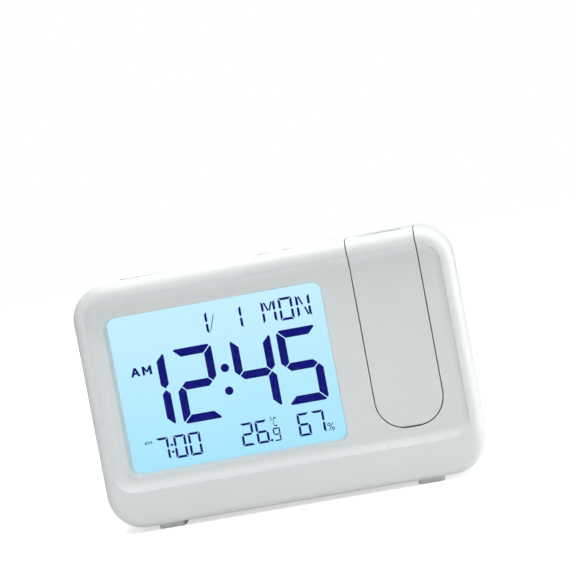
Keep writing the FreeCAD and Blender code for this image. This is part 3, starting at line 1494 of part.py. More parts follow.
def optics():
    chamber = "chamber_radius - chamber_wall"
    bore = "barrel_radius - barrel_wall"
    keep("lens_barrel", turned("lens_barrel", [
        (chamber, "chamber_low"),
        ("chamber_radius", "chamber_low"),
        ("chamber_radius", "chamber_top"),
        ("barrel_radius", "chamber_top + shoulder"),
        ("barrel_radius", "barrel_top"),
        (bore, "barrel_top"),
        (bore, "chamber_top - shoulder"),
        (chamber, "chamber_top - shoulder"),
    ]))
    cell = f"({bore} - running_gap)"
    keep("lens_cell", turned("lens_cell", [
        ("lens_radius + pin_gap", "cell_top - cell_length"),
        (cell, "cell_top - cell_length"),
        (cell, "cell_top"),
        ("lens_radius - lens_lip", "cell_top"),
        ("lens_radius - lens_lip", "cell_top - lens_seat"),
        ("lens_radius + pin_gap", "cell_top - lens_seat"),
    ]))
    middle = "cell_top - lens_seat - fit_gap - lens_thickness / 2"
    rise = value("(lens_thickness - lens_rim) / 2")
    reach = value("lens_radius")
    bow = f"{(rise ** 2 + reach ** 2) / (2 * rise):.6f}"
    keep("projection_lens", turned("projection_lens", [
        ("0", f"{middle} - lens_thickness / 2", bow, 1),
        ("lens_radius", f"{middle} - lens_rim / 2"),
        ("lens_radius", f"{middle} + lens_rim / 2", bow, 1),
        ("0", f"{middle} + lens_thickness / 2"),
    ]))
    condenser_low = "chamber_low + condenser_rise"
    lens = f"({chamber} - pin_gap)"
    dome = value(f"{chamber} - pin_gap")
    crown = value("condenser_crown")
    swell = f"{(crown ** 2 + dome ** 2) / (2 * crown):.6f}"
    keep("condenser_lens", turned("condenser_lens", [
        ("0", condenser_low),
        (lens, condenser_low),
        (lens, f"{condenser_low} + condenser_thickness - condenser_crown", swell, 1),
        ("0", f"{condenser_low} + condenser_thickness"),
    ]))
    slide_low = "chamber_top - shoulder - slide_thickness"
    keep("projector_lcd",
         box("projector_slide", "module_x - slide_width / 2", "axis_y - slide_height / 2",
             slide_low, "slide_width", "slide_height", "slide_thickness"))
    keep("spacer_ring", turned("spacer_ring", tube_corners(
        f"{lens} - spacer_wall", lens,
        f"{condenser_low} + condenser_thickness - condenser_crown + spacer_step", slide_low)))
    board_low = "chamber_low - board_thickness"
    keep("led_board",
         box("led_board_blank", "module_x - led_board_width / 2", "axis_y - chamber_radius",
             board_low, "led_board_width", "2 * chamber_radius", "board_thickness"))
    keep("red_led", turned("red_led", [
        ("0", "chamber_low"),
        ("led_flange", "chamber_low"),
        ("led_flange", "chamber_low + led_flange_height"),
        ("led_radius", "chamber_low + led_flange_height"),
        ("led_radius", "chamber_low + led_height - led_radius", "led_radius", 1),
        ("0", "chamber_low + led_height"),
    ]))
    sink = new_body("heat_sink_block")
    fins = sketch_in(sink, "YZ", "module_x - sink_width / 2", "heat_sink_profile")
    high = board_low
    low = f"({board_low} - sink_height)"
    front = "(axis_y - sink_depth / 2)"
    pitch = "((sink_depth - fin_thickness) / (fin_count - 1))"
    corners = [(f"{front} + sink_depth", high), (front, high)]
    for step in range(SIZES["fin_count"]):
        corners.append((f"{front} + {step} * {pitch}", low))
        corners.append((f"{front} + {step} * {pitch} + fin_thickness", low))
        if step < SIZES["fin_count"] - 1:
            corners.append((f"{front} + {step} * {pitch} + fin_thickness", f"{high} - sink_base"))
            corners.append((f"{front} + {step + 1} * {pitch}", f"{high} - sink_base"))
    trace(fins, corners)
    feature(sink, "Pad", "heat_sink_pad", fins, "sink_width")
    keep("heat_sink", sink)


def focus_ring():
    body = turned("focus_ring", [
        ("ring_bore", "ring_low"),
        ("ring_bore + ring_wall", "ring_low"),
        ("ring_bore + ring_wall", "ring_top - ring_head"),
        ("ring_radius", "ring_top - ring_head"),
        ("ring_radius", "ring_top - ring_edge"),
        ("ring_radius - ring_edge", "ring_top"),
        ("barrel_radius - barrel_wall + ring_mouth", "ring_top"),
        ("barrel_radius - barrel_wall - ring_lip", "ring_top - ring_mouth_depth"),
        ("barrel_radius - barrel_wall - ring_lip", "barrel_top + ring_gap"),
        ("ring_bore", "barrel_top + ring_gap"),
    ])
    flute = sketch_in(body, "XY", "ring_top", "flute_outline")
    circle(flute, "ring_radius + overcut", "0", "flute_radius")
    groove = feature(body, "Pocket", "flute", flute, "ring_head")
    pattern = body.newObject("PartDesign::PolarPattern", "flutes")
    pattern.Originals = [groove]
    pattern.Axis = (flute, ["N_Axis"])
    pattern.Angle = 360
    pattern.Occurrences = SIZES["flute_count"]
    body.Tip = pattern
    doc.recompute()
    keep("focus_ring", body)


# Leads
def lead(label, points):
    """A round lead along straight runs joined by one bend."""
    first, corner, last = [Vector(*[value(part) for part in point]) for point in points]
    bend = value("lead_bend")
    before = (first - corner).normalize()
    after = (last - corner).normalize()
    start = corner + before * bend
    finish = corner + after * bend
    centre = corner + (before + after) * bend
    middle = centre + (corner - centre).normalize() * bend
    path = Part.Wire([Part.LineSegment(first, start).toShape(),
                      Part.Arc(start, middle, finish).toShape(),
                      Part.LineSegment(finish, last).toShape()])
    ring = Part.Wire([Part.Circle(first, -before, value("lead_radius")).toShape()])
    item = doc.addObject("Part::Feature", label + "_tube")
    item.Shape = path.makePipeShell([ring], True, False)
    keep(label, item)


def leads():
    outer = "module_x - well_half - well_wall - pin_end"
    plug = "board_right - plug_end + plug_width / 2"
    lead("case_lead", [(outer, "pivot_y", "pivot_z"), (plug, "pivot_y", "pivot_z"),
                       (plug, "board_y - plug_depth", "pivot_z")])
    inner = "module_x - module_half + pin_inside"
    rise = "module_x - led_board_width / 2 + lead_inset"
    lead("projector_lead", [(inner, "pivot_y", "pivot_z"), (rise, "pivot_y", "pivot_z"),
                            (rise, "pivot_y", "chamber_low - board_thickness")])


def check_objects():
    """Stop if an object failed or a sub-part has no sound shape."""
    doc.recompute()
    for item in doc.Objects:
        if "Invalid" in item.State or "Error" in item.State:
            raise RuntimeError(f"{item.Label} failed: {item.State}")
    for label, item in nodes.items():
        if item.Shape.isNull() or not item.Shape.isValid() or not item.Shape.Solids:
            raise RuntimeError(f"{label} has no sound shape")


front_case()
rear_case()
feet()
display()
boards()
case_screws()
keys()
projection_switch_knob()
power_store()
battery_door()
projector_shells()
hinge()
projector_cradle()
optics()
focus_ring()
leads()
check_objects()
for label, item in nodes.items():
    item.Shape.exportStep(f"parts/{label}.step")
    print(label, len(item.Shape.Solids), round(item.Shape.Volume, 1))
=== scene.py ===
import math

import bpy
from bpy.props import FloatProperty, FloatVectorProperty, PointerProperty, StringProperty
from mathutils import Matrix, Vector


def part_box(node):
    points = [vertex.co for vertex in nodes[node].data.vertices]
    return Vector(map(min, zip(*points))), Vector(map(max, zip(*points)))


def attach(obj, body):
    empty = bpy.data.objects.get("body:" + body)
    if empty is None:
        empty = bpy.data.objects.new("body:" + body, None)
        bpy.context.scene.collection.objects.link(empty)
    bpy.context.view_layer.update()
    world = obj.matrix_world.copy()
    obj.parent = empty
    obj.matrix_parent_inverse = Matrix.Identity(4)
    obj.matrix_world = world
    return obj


bl_info = {
    "name": "Projection alarm clock",
    "version": (1, 0, 0),
    "blender": (4, 5, 0),
    "location": "3D View > Sidebar > Clock",
    "description": "Dresses the solids of a projection alarm clock with its lit display "
                   "and finishes",
    "category": "Object",
}

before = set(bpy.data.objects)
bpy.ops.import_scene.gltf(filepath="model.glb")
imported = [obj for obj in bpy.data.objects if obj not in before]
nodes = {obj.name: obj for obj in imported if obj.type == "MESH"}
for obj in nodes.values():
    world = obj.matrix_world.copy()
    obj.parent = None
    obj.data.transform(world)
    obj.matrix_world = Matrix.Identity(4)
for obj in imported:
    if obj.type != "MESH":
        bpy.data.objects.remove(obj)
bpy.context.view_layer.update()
MM = 0.001

# Layout of the display. Lengths are in millimetres, digit sizes are width, height, stroke, gap.

TIME_STARTS = (-63.6, -43.2, -18.2, 1.53)
TIME_FOOT = 40.67
COLON_DOTS = ((-22.0, 60.95), (-22.0, 51.23))
COLON_RADIUS = 1.78

SMALL_SIZE = (5.25, 9.72, 1.0, 0.26)
SMALL_TEXT = "7002667"
SMALL_STARTS = (-56.5, -49.02, -42.78, -20.44, -14.15, 3.7, 9.84)
SMALL_FOOT = 27.05
TENTH_START = -7.1
TENTH_FOOT = 27.0
TENTH_SHARE = 0.58
SMALL_DOTS = ((-50.0, 33.1), (-50.0, 30.15), (-8.1, 27.7))
SMALL_DOT_RADIUS = 0.56

DATE_SIZE = (5.92, 9.55, 1.05, 0.3)
DATE_FOOT = 76.05
DATE_DIGITS = (("1", -31.45), ("1", -16.87), ("0", 4.82))
LETTER_STARTS = (-2.5, 12.12)
LETTER_SIDES = "bcef"
LETTER_SLANTS = (((0.2, 81.3), (-1.1, 84.85)), ((0.75, 81.3), (2.05, 84.85)),
                 ((14.8, 81.3), (13.5, 84.85)), ((16.75, 76.75), (15.5, 80.2)))
LETTER_SLANT_STROKE = 0.75
DATE_SLASH = ((-24.97, 77.2), (-22.66, 83.8))
DATE_SLASH_STROKE = 0.35

# Start, foot, width, height and stroke of each AM
HALF_DAYS = ((-61.6, 63.8, 9.1, 3.77, 1.05), (-61.4, 34.8, 3.2, 1.4, 0.28))
# Sign, start, foot, height and width
SIGNS = (("°C", -7.35, 33.1, 4.3, 2.5), ("%", 15.77, 27.5, 3.3, 2.9))

CELL_CLEARANCE = 0.01
DOT_SIDES = 28
CHAMFER_SHARE = 0.3

# Finishes

GRAIN_SCALE = 2600.0
DRIFT_SCALE = 38.0
HAZE_SCALE = 60.0
INK_SCALE = 300.0
INK_DRIFT = 0.1
GLOSS_SPREAD = 0.06
GRAIN_STRENGTH = 0.35

# Studio: lamp name, place, size in metres and watts

LAMPS = (("top_light", (0.1, -0.05, 1.4), 0.9, 17.0),
         ("top_front_light", (0.0, -0.9, 1.1), 0.9, 5.6),
         ("left_fill", (-1.0, -0.8, 0.35), 0.9, 1.6),
         ("right_light", (1.38, 0.12, 0.25), 0.7, 13.5),
         ("front_fill", (0.2, -1.5, 0.25), 0.9, 2.2),
         ("rear_fill", (-0.5, 1.4, 0.6), 0.9, 6.0))
LAMP_AIM = (0.0, 0.0, 0.05)
CAMERA_AIM = (11.2 * MM, -20 * MM, 89.6 * MM)
FLOOR_SIDE = 6.0
FLOOR_WHITE = 0.8
FLOOR_ROUGH = 0.8
# The floor brightens for the camera between these distances from the clock
FLOOR_REACH = (0.10, 0.45)
FLOOR_GLOW = (0.62, 1.0)
AIR_TINT = (0.9, 0.97, 1.0, 1)
AIR_STRENGTH = 0.03


def in_metres(lengths):
    """Lengths in millimetres made metres."""
    return [length * MM for length in lengths]


def colour(red, green, blue):
    """A colour written as it looks on a screen, in steps of 255, made linear."""
    return tuple(((c / 255 + 0.055) / 1.055) ** 2.4 if c > 10 else c / 255 / 12.92
                 for c in (red, green, blue))


# Settings

class ClockFinish(bpy.types.PropertyGroup):
    housing: FloatVectorProperty(
        name="Housing", description="White of the moulded housing",
        subtype="COLOR", size=3, min=0, max=1, default=colour(227, 231, 231))
    keys: FloatVectorProperty(
        name="Keys", description="White of the keys and the projector module",
        subtype="COLOR", size=3, min=0, max=1, default=colour(226, 231, 231))
    glow_high: FloatVectorProperty(
        name="Glow above", description="Backlight at the top of the display",
        subtype="COLOR", size=3, min=0, max=1, default=colour(199, 240, 254))
    glow_low: FloatVectorProperty(
        name="Glow below", description="Backlight at the foot of the display",
        subtype="COLOR", size=3, min=0, max=1, default=colour(166, 228, 252))
    ink: FloatVectorProperty(
        name="Segments", description="Navy of the driven display segments",
        subtype="COLOR", size=3, min=0, max=1, default=colour(16, 20, 120))


class ClockDisplay(bpy.types.PropertyGroup):
    digit_width: FloatProperty(
        name="Digit width", description="Width of a digit of the time",
        unit="LENGTH", default=17.15 * MM)
    digit_height: FloatProperty(
        name="Digit height", description="Height of a digit of the time",
        unit="LENGTH", default=31.6 * MM)
    digit_stroke: FloatProperty(
        name="Digit stroke", description="Width of a segment of the time",
        unit="LENGTH", default=3.45 * MM)
    digit_gap: FloatProperty(
        name="Digit gap", description="Gap between neighbouring segments of the time",
        unit="LENGTH", default=0.42 * MM)
    ink_depth: FloatProperty(
        name="Segment thickness", description="How far a segment stands off the cell",
        unit="LENGTH", default=0.04 * MM)
    time_text: StringProperty(
        name="Time", description="Digits of the time, without the colon", default="1245")


class ClockStudio(bpy.types.PropertyGroup):
    eye_side: FloatProperty(
        name="Eye to the right", description="Camera's place to the right of the middle",
        unit="LENGTH", default=100 * MM)
    eye_back: FloatProperty(
        name="Eye distance", description="Camera's distance in front of the middle",
        unit="LENGTH", default=920 * MM)
    eye_height: FloatProperty(
        name="Eye height", description="Camera's height above the floor",
        unit="LENGTH", default=135 * MM)
    roll: FloatProperty(
        name="Roll", description="How far the clock is turned in the picture",
        subtype="ANGLE", default=math.radians(10.6))
    lens: FloatProperty(
        name="Lens", description="Focal length of the camera, in millimetres", default=138.0)


# Making meshes

def pick(obj):
    """Makes one object the only selected and active one."""
    bpy.ops.object.select_all(action="DESELECT")
    obj.select_set(True)
    bpy.context.view_layer.objects.active = obj


def settle(obj):
    """Puts the object's place, turn and size into its mesh."""
    pick(obj)
    bpy.ops.object.transform_apply(location=True, rotation=True, scale=True)


def upright_plate(name, x, z, width, height, y=0.0):
    """A flat plate facing the front, from its low left corner."""
    bpy.ops.object.select_all(action="DESELECT")
    bpy.ops.mesh.primitive_plane_add(
        size=1, location=(x + width / 2, y, z + height / 2), rotation=(math.pi / 2, 0, 0))
    plate = bpy.context.object
    plate.name = name
    plate.scale = (width, height, 1)
    settle(plate)
    return plate


def trim(obj, cuts):
    """Cuts a plate off beyond each line, given as a point and the way that is cut away."""
    pick(obj)
    bpy.ops.object.mode_set(mode="EDIT")
    for (x, z), (away_x, away_z) in cuts:
        bpy.ops.mesh.select_all(action="SELECT")
        bpy.ops.mesh.bisect(plane_co=(x, 0, z), plane_no=(away_x, 0, away_z), clear_outer=True)
    bpy.ops.object.mode_set(mode="OBJECT")


def copy_of(obj, name):
    """A copy with a mesh of its own."""
    twin = obj.copy()
    twin.data = obj.data.copy()
    twin.name = name
    bpy.context.collection.objects.link(twin)
    return twin


def joined(name, parts):
    """The parts made one object."""
    bpy.ops.object.select_all(action="DESELECT")
    for part in parts:
        part.select_set(True)
    bpy.context.view_layer.objects.active = parts[0]
    if len(parts) > 1:
        bpy.ops.object.join()
    whole = bpy.context.object
    whole.name = name
    return whole


def thicken(obj, depth):
    """Gives flat plates facing the front a thickness towards the front."""
    pick(obj)
    bpy.ops.object.mode_set(mode="EDIT")
    bpy.ops.mesh.select_all(action="SELECT")
    bpy.ops.mesh.extrude_region_move(TRANSFORM_OT_translate={"value": (0, -depth, 0)})
    bpy.ops.mesh.select_all(action="SELECT")
    bpy.ops.mesh.normals_make_consistent(inside=False)
    bpy.ops.object.mode_set(mode="OBJECT")


def mitre(x, z, away_x, away_z, gap):
    """A slanted cut that stays half a gap off the line through a point."""
    size = math.hypot(away_x, away_z)
    return (x - away_x / size * gap, z - away_z / size * gap), (away_x, away_z)


def digit_set(width, height, stroke, gap):
    """The seven segments of one digit, low left corner at the origin."""
    half = gap / 2
    chamfer = stroke * CHAMFER_SHARE
    middle = height / 2
    node = width - stroke / 2
    side = upright_plate("side_segment", width - stroke, middle, stroke, middle)
    trim(side, [mitre(width, height, -1, 1, half), mitre(width, height, 1, 1, chamfer),
                mitre(node, middle, -1, -1, half), mitre(node, middle, 1, -1, half)])
    across = upright_plate("across_segment", 0, height - stroke, width, stroke)
    trim(across, [mitre(width, height, 1, -1, half), mitre(width, height, 1, 1, chamfer),
                  mitre(0, height, -1, -1, half), mitre(0, height, -1, 1, chamfer)])
    bar = upright_plate("middle_segment", 0, middle - stroke / 2, width, stroke)
    trim(bar, [mitre(node, middle, 1, 1, half), mitre(node, middle, 1, -1, half),
               mitre(width - node, middle, -1, 1, half), mitre(width - node, middle, -1, -1, half)])

    def flipped(obj, name, across_x, across_z):
        twin = copy_of(obj, name)
        if across_x:
            twin.scale.x = -1
            twin.location.x = width
        if across_z:
            twin.scale.z = -1
            twin.location.z = height
        settle(twin)
        return twin
    return {"a": across, "b": side, "c": flipped(side, "low_right", False, True),
            "d": flipped(across, "low_across", False, True),
            "e": flipped(side, "low_left", True, True),
            "f": flipped(side, "high_left", True, False), "g": bar}


SEGMENTS = {"0": "abcdef", "1": "bc", "2": "abged", "3": "abgcd", "4": "fgbc", "5": "afgcd",
            "6": "afgedc", "7": "abc", "8": "abcdefg", "9": "abcdfg"}


def write_digit(parts, segments, digit, x, z, size=1.0):
    """Adds copies of a digit's segments at a place on the cell."""
    for letter in SEGMENTS[digit]:
        part = copy_of(segments[letter], f"segment_{letter}")
        part.scale = (size, 1, size)
        part.location = (x, 0, z)
        settle(part)
        parts.append(part)


def discard(objects):
    """Removes the patterns that copies were made from."""
    for obj in objects:
        bpy.data.meshes.remove(obj.data)


def dot(parts, x, z, radius):
    """Adds a round dot."""
    bpy.ops.object.select_all(action="DESELECT")
    bpy.ops.mesh.primitive_circle_add(vertices=DOT_SIDES, radius=radius, fill_type="NGON",
                                      location=(x, 0, z), rotation=(math.pi / 2, 0, 0))
    spot = bpy.context.object
    settle(spot)
    parts.append(spot)


def slanted(parts, low, high, stroke):
    """Adds a slanted stroke between two points, with level ends."""
    reach = high[0] - low[0]
    stroke_plate = upright_plate("slant", low[0] - stroke / 2, low[1], stroke, high[1] - low[1])
    for vertex in stroke_plate.data.vertices:
        if vertex.co.z > (low[1] + high[1]) / 2:
            vertex.co.x += reach
    parts.append(stroke_plate)


def write_am(parts, x, z, width, height, stroke):
    """Adds the letters AM in even strokes, their low left corner at a place."""
    letter = (width - stroke * 0.9) / 2
    half = stroke / 2
    bar_inset = letter * 0.24
    bar_rise = height * 0.24
    valley_rise = height * 0.3
    for foot, head in ((half, letter / 2), (letter - half, letter / 2)):
        slanted(parts, (x + foot, z), (x + head, z + height), stroke)
    parts.append(upright_plate("bar_of_a", x + bar_inset, z + bar_rise,
                               letter * 0.52, stroke * 0.8))
    start = x + width - letter
    for side in (0, letter - stroke):
        parts.append(upright_plate("side_of_m", start + side, z, stroke, height))
    for head in (half, letter - half):
        slanted(parts, (start + letter / 2, z + valley_rise), (start + head, z + height),
                stroke * 0.85)


def caption(parts, text, x, z, height, width):
    """Adds a sign in the plain built-in letters, its low left corner at a place."""
    bpy.ops.object.select_all(action="DESELECT")
    bpy.ops.object.text_add(location=(0, 0, 0))
    word = bpy.context.object
    word.data.body = text
    word.data.resolution_u = 6
    pick(word)
    bpy.ops.object.convert(target="MESH")
    xs = [v.co.x for v in word.data.vertices]
    ys = [v.co.y for v in word.data.vertices]
    grow_x = width / (max(xs) - min(xs))
    grow_z = height / (max(ys) - min(ys))
    word.scale = (grow_x, grow_z, 1)
    word.rotation_euler = (math.pi / 2, 0, 0)
    word.location = (x - min(xs) * grow_x, 0, z - min(ys) * grow_z)
    settle(word)
    parts.append(word)


# Finishes

def new_material(name):
    """An empty material with its shader, and a way to add nodes to it."""
    material = bpy.data.materials.new(name)
    material.use_nodes = True
    tree = material.node_tree
    shader = tree.nodes["Principled BSDF"]
    return material, tree, shader


def add(tree, kind, **values):
    """A shader node with its settings and its inputs' numbers."""
    node = tree.nodes.new(kind)
    for name, value in values.items():
        if name in node.inputs:
            node.inputs[name].default_value = value
        else:
            setattr(node, name, value)
    return node


def noise(tree, scale, detail):
    """Noise on the piece's own coordinates."""
    place = tree.nodes.get("Texture Coordinate") or add(tree, "ShaderNodeTexCoord")
    texture = add(tree, "ShaderNodeTexNoise", Scale=scale, Detail=detail)
    tree.links.new(place.outputs["Object"], texture.inputs["Vector"])
    return texture.outputs["Fac"]


def ranged(tree, value, target, source=(0.0, 1.0)):
    """A shader value taken from one range to another."""
    node = add(tree, "ShaderNodeMapRange")
    for side, (low, high) in (("From", source), ("To", target)):
        node.inputs[side + " Min"].default_value = low
        node.inputs[side + " Max"].default_value = high
    tree.links.new(value, node.inputs["Value"])
    return node.outputs["Result"]


def between_tints(tree, share, low, high):
    """A colour that goes from one tint to another."""
    node = add(tree, "ShaderNodeMixRGB")
    node.inputs["Color1"].default_value = tuple(low) + (1,)
    node.inputs["Color2"].default_value = tuple(high) + (1,)
    tree.links.new(share, node.inputs["Fac"])
    return node.outputs["Color"]


def plastic(name, tint, rough=0.45, depth=0.02, drift=0.03, metallic=0.0):
    """Moulded plastic, rubber or metal: fine grain, slow drift of tone and gloss."""
    material, tree, shader = new_material(name)
    slow = noise(tree, DRIFT_SCALE, 3.0)
    tone = between_tints(tree, slow, [c * (1 - drift) for c in tint],
                         [min(c * (1 + drift), 1) for c in tint])
    tree.links.new(tone, shader.inputs["Base Color"])
    gloss = ranged(tree, slow, (max(rough - GLOSS_SPREAD, 0.02), min(rough + GLOSS_SPREAD, 1)))
    tree.links.new(gloss, shader.inputs["Roughness"])
    bump = add(tree, "ShaderNodeBump", Strength=GRAIN_STRENGTH, Distance=depth * MM)
    tree.links.new(noise(tree, GRAIN_SCALE, 2.0), bump.inputs["Height"])
    tree.links.new(bump.outputs["Normal"], shader.inputs["Normal"])
    shader.inputs["Metallic"].default_value = metallic
    return material


def clear_plastic(name, tint, rough, index=1.49):
    """Clear moulded plastic with a little haze."""
    material, tree, shader = new_material(name)
    gloss = ranged(tree, noise(tree, HAZE_SCALE, 2.0), (rough, rough * 1.8))
    tree.links.new(gloss, shader.inputs["Roughness"])
    shader.inputs["Base Color"].default_value = tint + (1,)
    shader.inputs["Transmission Weight"].default_value = 1.0
    shader.inputs["IOR"].default_value = index
    return material


def lit_material(name, tint_of, strength, base, rough):
    """A dull surface that gives its own light, its tint made by a function of its tree."""
    material, tree, shader = new_material(name)
    tree.links.new(tint_of(tree), shader.inputs["Emission Color"])
    shader.inputs["Emission Strength"].default_value = strength
    shader.inputs["Base Color"].default_value = base + (1,)
    shader.inputs["Roughness"].default_value = rough
    shader.inputs["Specular IOR Level"].default_value = 0.0
    return material


def glow_material(look, low, high):
    """The backlit cell: pale blue, deeper towards its foot."""
    def tint_of(tree):
        place = add(tree, "ShaderNodeTexCoord")
        split = add(tree, "ShaderNodeSeparateXYZ")
        tree.links.new(place.outputs["Object"], split.inputs["Vector"])
        rise = ranged(tree, split.outputs["Z"], (0.0, 1.0), (low, high))
        return between_tints(tree, rise, look.glow_low, look.glow_high)
    return lit_material("backlit_cell", tint_of, 1.0, (0.02, 0.03, 0.03), 0.4)


def ink_material(look):
    """Driven liquid crystal: navy, lit from behind."""
    def tint_of(tree):
        return between_tints(tree, noise(tree, INK_SCALE, 1.0),
                             [c * (1 - INK_DRIFT) for c in look.ink],
                             [c * (1 + INK_DRIFT) for c in look.ink])
    return lit_material("driven_crystal", tint_of, 0.9, (0.002, 0.002, 0.01), 0.6)


def dress(material, *names):
    """Gives CAD nodes a finish."""
    for name in names:
        for place in nodes[name].material_slots:
            place.material = material


# Operators

class CLOCK_OT_housing(bpy.types.Operator):
    """Finishes the moulded housing, the keys, the feet and the projector's shells"""
    bl_idname = "clock.housing"
    bl_label = "Housing finish"

    def execute(self, context):
        look = context.scene.clock_finish
        dress(plastic("white_housing", tuple(look.housing)),
              "front_case", "rear_case", "battery_door")
        dress(plastic("white_module", tuple(look.keys)),
              "projector_front", "projector_back", "focus_ring", "snooze_bar", "top_key_left",
              "top_key_right", "set_key", "plus_key", "minus_key", "alarm_key",
              "projection_switch_knob")
        dress(plastic("grey_foot_rubber", colour(232, 234, 233), rough=0.6, depth=0.05),
              "front_feet", "rear_feet")
        return {"FINISHED"}


class CLOCK_OT_works(bpy.types.Operator):
    """Finishes the parts inside the clock"""
    bl_idname = "clock.works"
    bl_label = "Works finish"

    def execute(self, context):
        dress(plastic("tray_plastic", colour(225, 226, 224), rough=0.5),
              "display_frame", "light_guide", "projector_cradle")
        dress(plastic("board_mask", colour(24, 92, 52), rough=0.35, drift=0.12),
              "main_board", "rear_key_board", "top_key_board", "power_board", "led_board")
        dress(plastic("black_moulding", colour(28, 28, 30), rough=0.4),
              "clock_chip", "slide_switch_base", "rear_switches", "top_switches", "sounder",
              "temperature_sensor", "lens_barrel", "lens_cell", "spacer_ring")
        dress(plastic("plated_steel", colour(196, 194, 188), rough=0.3, metallic=1.0, depth=0.005),
              "board_screws", "rear_board_screws", "top_board_screws", "case_screws",
              "projector_screws", "cradle_screws", "battery_contacts", "quartz_crystal",
              "hinge_pins", "power_inlet")
        dress(plastic("raw_aluminium", colour(190, 192, 195), rough=0.35, metallic=1.0),
              "heat_sink")
        dress(plastic("cream_connector", colour(226, 220, 204), rough=0.5),
              "lcd_connector", "lead_connector", "backlight_strip")
        dress(plastic("drag_rubber", colour(60, 60, 62), rough=0.8), "friction_washers")
        dress(plastic("cell_wrap", colour(44, 60, 78), rough=0.3, drift=0.1), "batteries")
        dress(plastic("lead_wrap", colour(40, 40, 44), rough=0.55), "case_lead", "projector_lead")
        dress(clear_plastic("lens_clear", (0.97, 0.98, 0.98), 0.02),
              "projection_lens", "condenser_lens")
        dress(clear_plastic("led_dome", (0.9, 0.08, 0.05), 0.08), "red_led")
        dress(plastic("projector_film", colour(70, 14, 14), rough=0.2), "projector_lcd")
        return {"FINISHED"}


class CLOCK_OT_display(bpy.types.Operator):
    """Lights the display and writes the time, date, alarm, temperature and humidity on it"""
    bl_idname = "clock.display"
    bl_label = "Display"

    def execute(self, context):
        look = context.scene.clock_finish
        sizes = context.scene.clock_display
        low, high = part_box("lcd_cell")
        dress(glow_material(look, low[2], high[2]), "lcd_cell")
        dress(clear_plastic("window_clear", (0.99, 0.995, 0.995), 0.01, index=1.12),
              "display_window")
        for name, write in (("time_digits", self.write_time),
                            ("alarm_and_climate_digits", self.write_small_row),
                            ("date_row", self.write_date),
                            ("display_signs", self.write_signs)):
            parts = []
            write(parts, sizes)
            self.place(parts, name, look, sizes)
        return {"FINISHED"}

    def write_time(self, parts, sizes):
        """Adds the digits of the time and their colon."""
        big = digit_set(sizes.digit_width, sizes.digit_height, sizes.digit_stroke, sizes.digit_gap)
        for digit, x in zip(sizes.time_text, TIME_STARTS):
            write_digit(parts, big, digit, x * MM, TIME_FOOT * MM)
        for x, z in COLON_DOTS:
            dot(parts, x * MM, z * MM, COLON_RADIUS * MM)
        discard(big.values())

    def write_small_row(self, parts, sizes):
        """Adds the digits of the alarm, the temperature and the humidity."""
        small = digit_set(*in_metres(SMALL_SIZE))
        for digit, x in zip(SMALL_TEXT, SMALL_STARTS):
            write_digit(parts, small, digit, x * MM, SMALL_FOOT * MM)
        write_digit(parts, small, "9", TENTH_START * MM, TENTH_FOOT * MM, TENTH_SHARE)
        for x, z in SMALL_DOTS:
            dot(parts, x * MM, z * MM, SMALL_DOT_RADIUS * MM)
        discard(small.values())

    def write_date(self, parts, sizes):
        """Adds the date and the day of the week."""
        tall = digit_set(*in_metres(DATE_SIZE))
        for digit, x in DATE_DIGITS:
            write_digit(parts, tall, digit, x * MM, DATE_FOOT * MM)
        for x in LETTER_STARTS:
            for side in LETTER_SIDES:
                part = copy_of(tall[side], "letter_side")
                part.location = (x * MM, 0, DATE_FOOT * MM)
                settle(part)
                parts.append(part)
        for foot, head in LETTER_SLANTS:
            slanted(parts, in_metres(foot), in_metres(head), LETTER_SLANT_STROKE * MM)
        foot, head = DATE_SLASH
        slanted(parts, in_metres(foot), in_metres(head), DATE_SLASH_STROKE * MM)
        discard(tall.values())

    def write_signs(self, parts, sizes):
        """Adds both marks of the half day, the degree sign and the percent sign."""
        for half_day in HALF_DAYS:
            write_am(parts, *in_metres(half_day))
        for text, *measures in SIGNS:
            caption(parts, text, *in_metres(measures))

    def place(self, parts, name, look, sizes):
        """Joins flat parts, stands them on the cell and gives them ink."""
        whole = joined(name, parts)
        thicken(whole, sizes.ink_depth)
        whole.location = (0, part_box("lcd_cell")[0][1] - CELL_CLEARANCE * MM, 0)
        settle(whole)
        whole.data.materials.clear()
        whole.data.materials.append(bpy.data.materials.get("driven_crystal")
                                    or ink_material(look))
        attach(whole, "case")


def lamp(name, place, size, watts):
    """A soft square light that faces the clock."""
    data = bpy.data.lights.new(name, "AREA")
    data.shape = "SQUARE"
    data.size = size
    data.energy = watts
    light = bpy.data.objects.new(name, data)
    light.location = place
    light.rotation_euler = (Vector(LAMP_AIM) - Vector(place)).to_track_quat("-Z", "Y").to_euler()
    bpy.context.collection.objects.link(light)


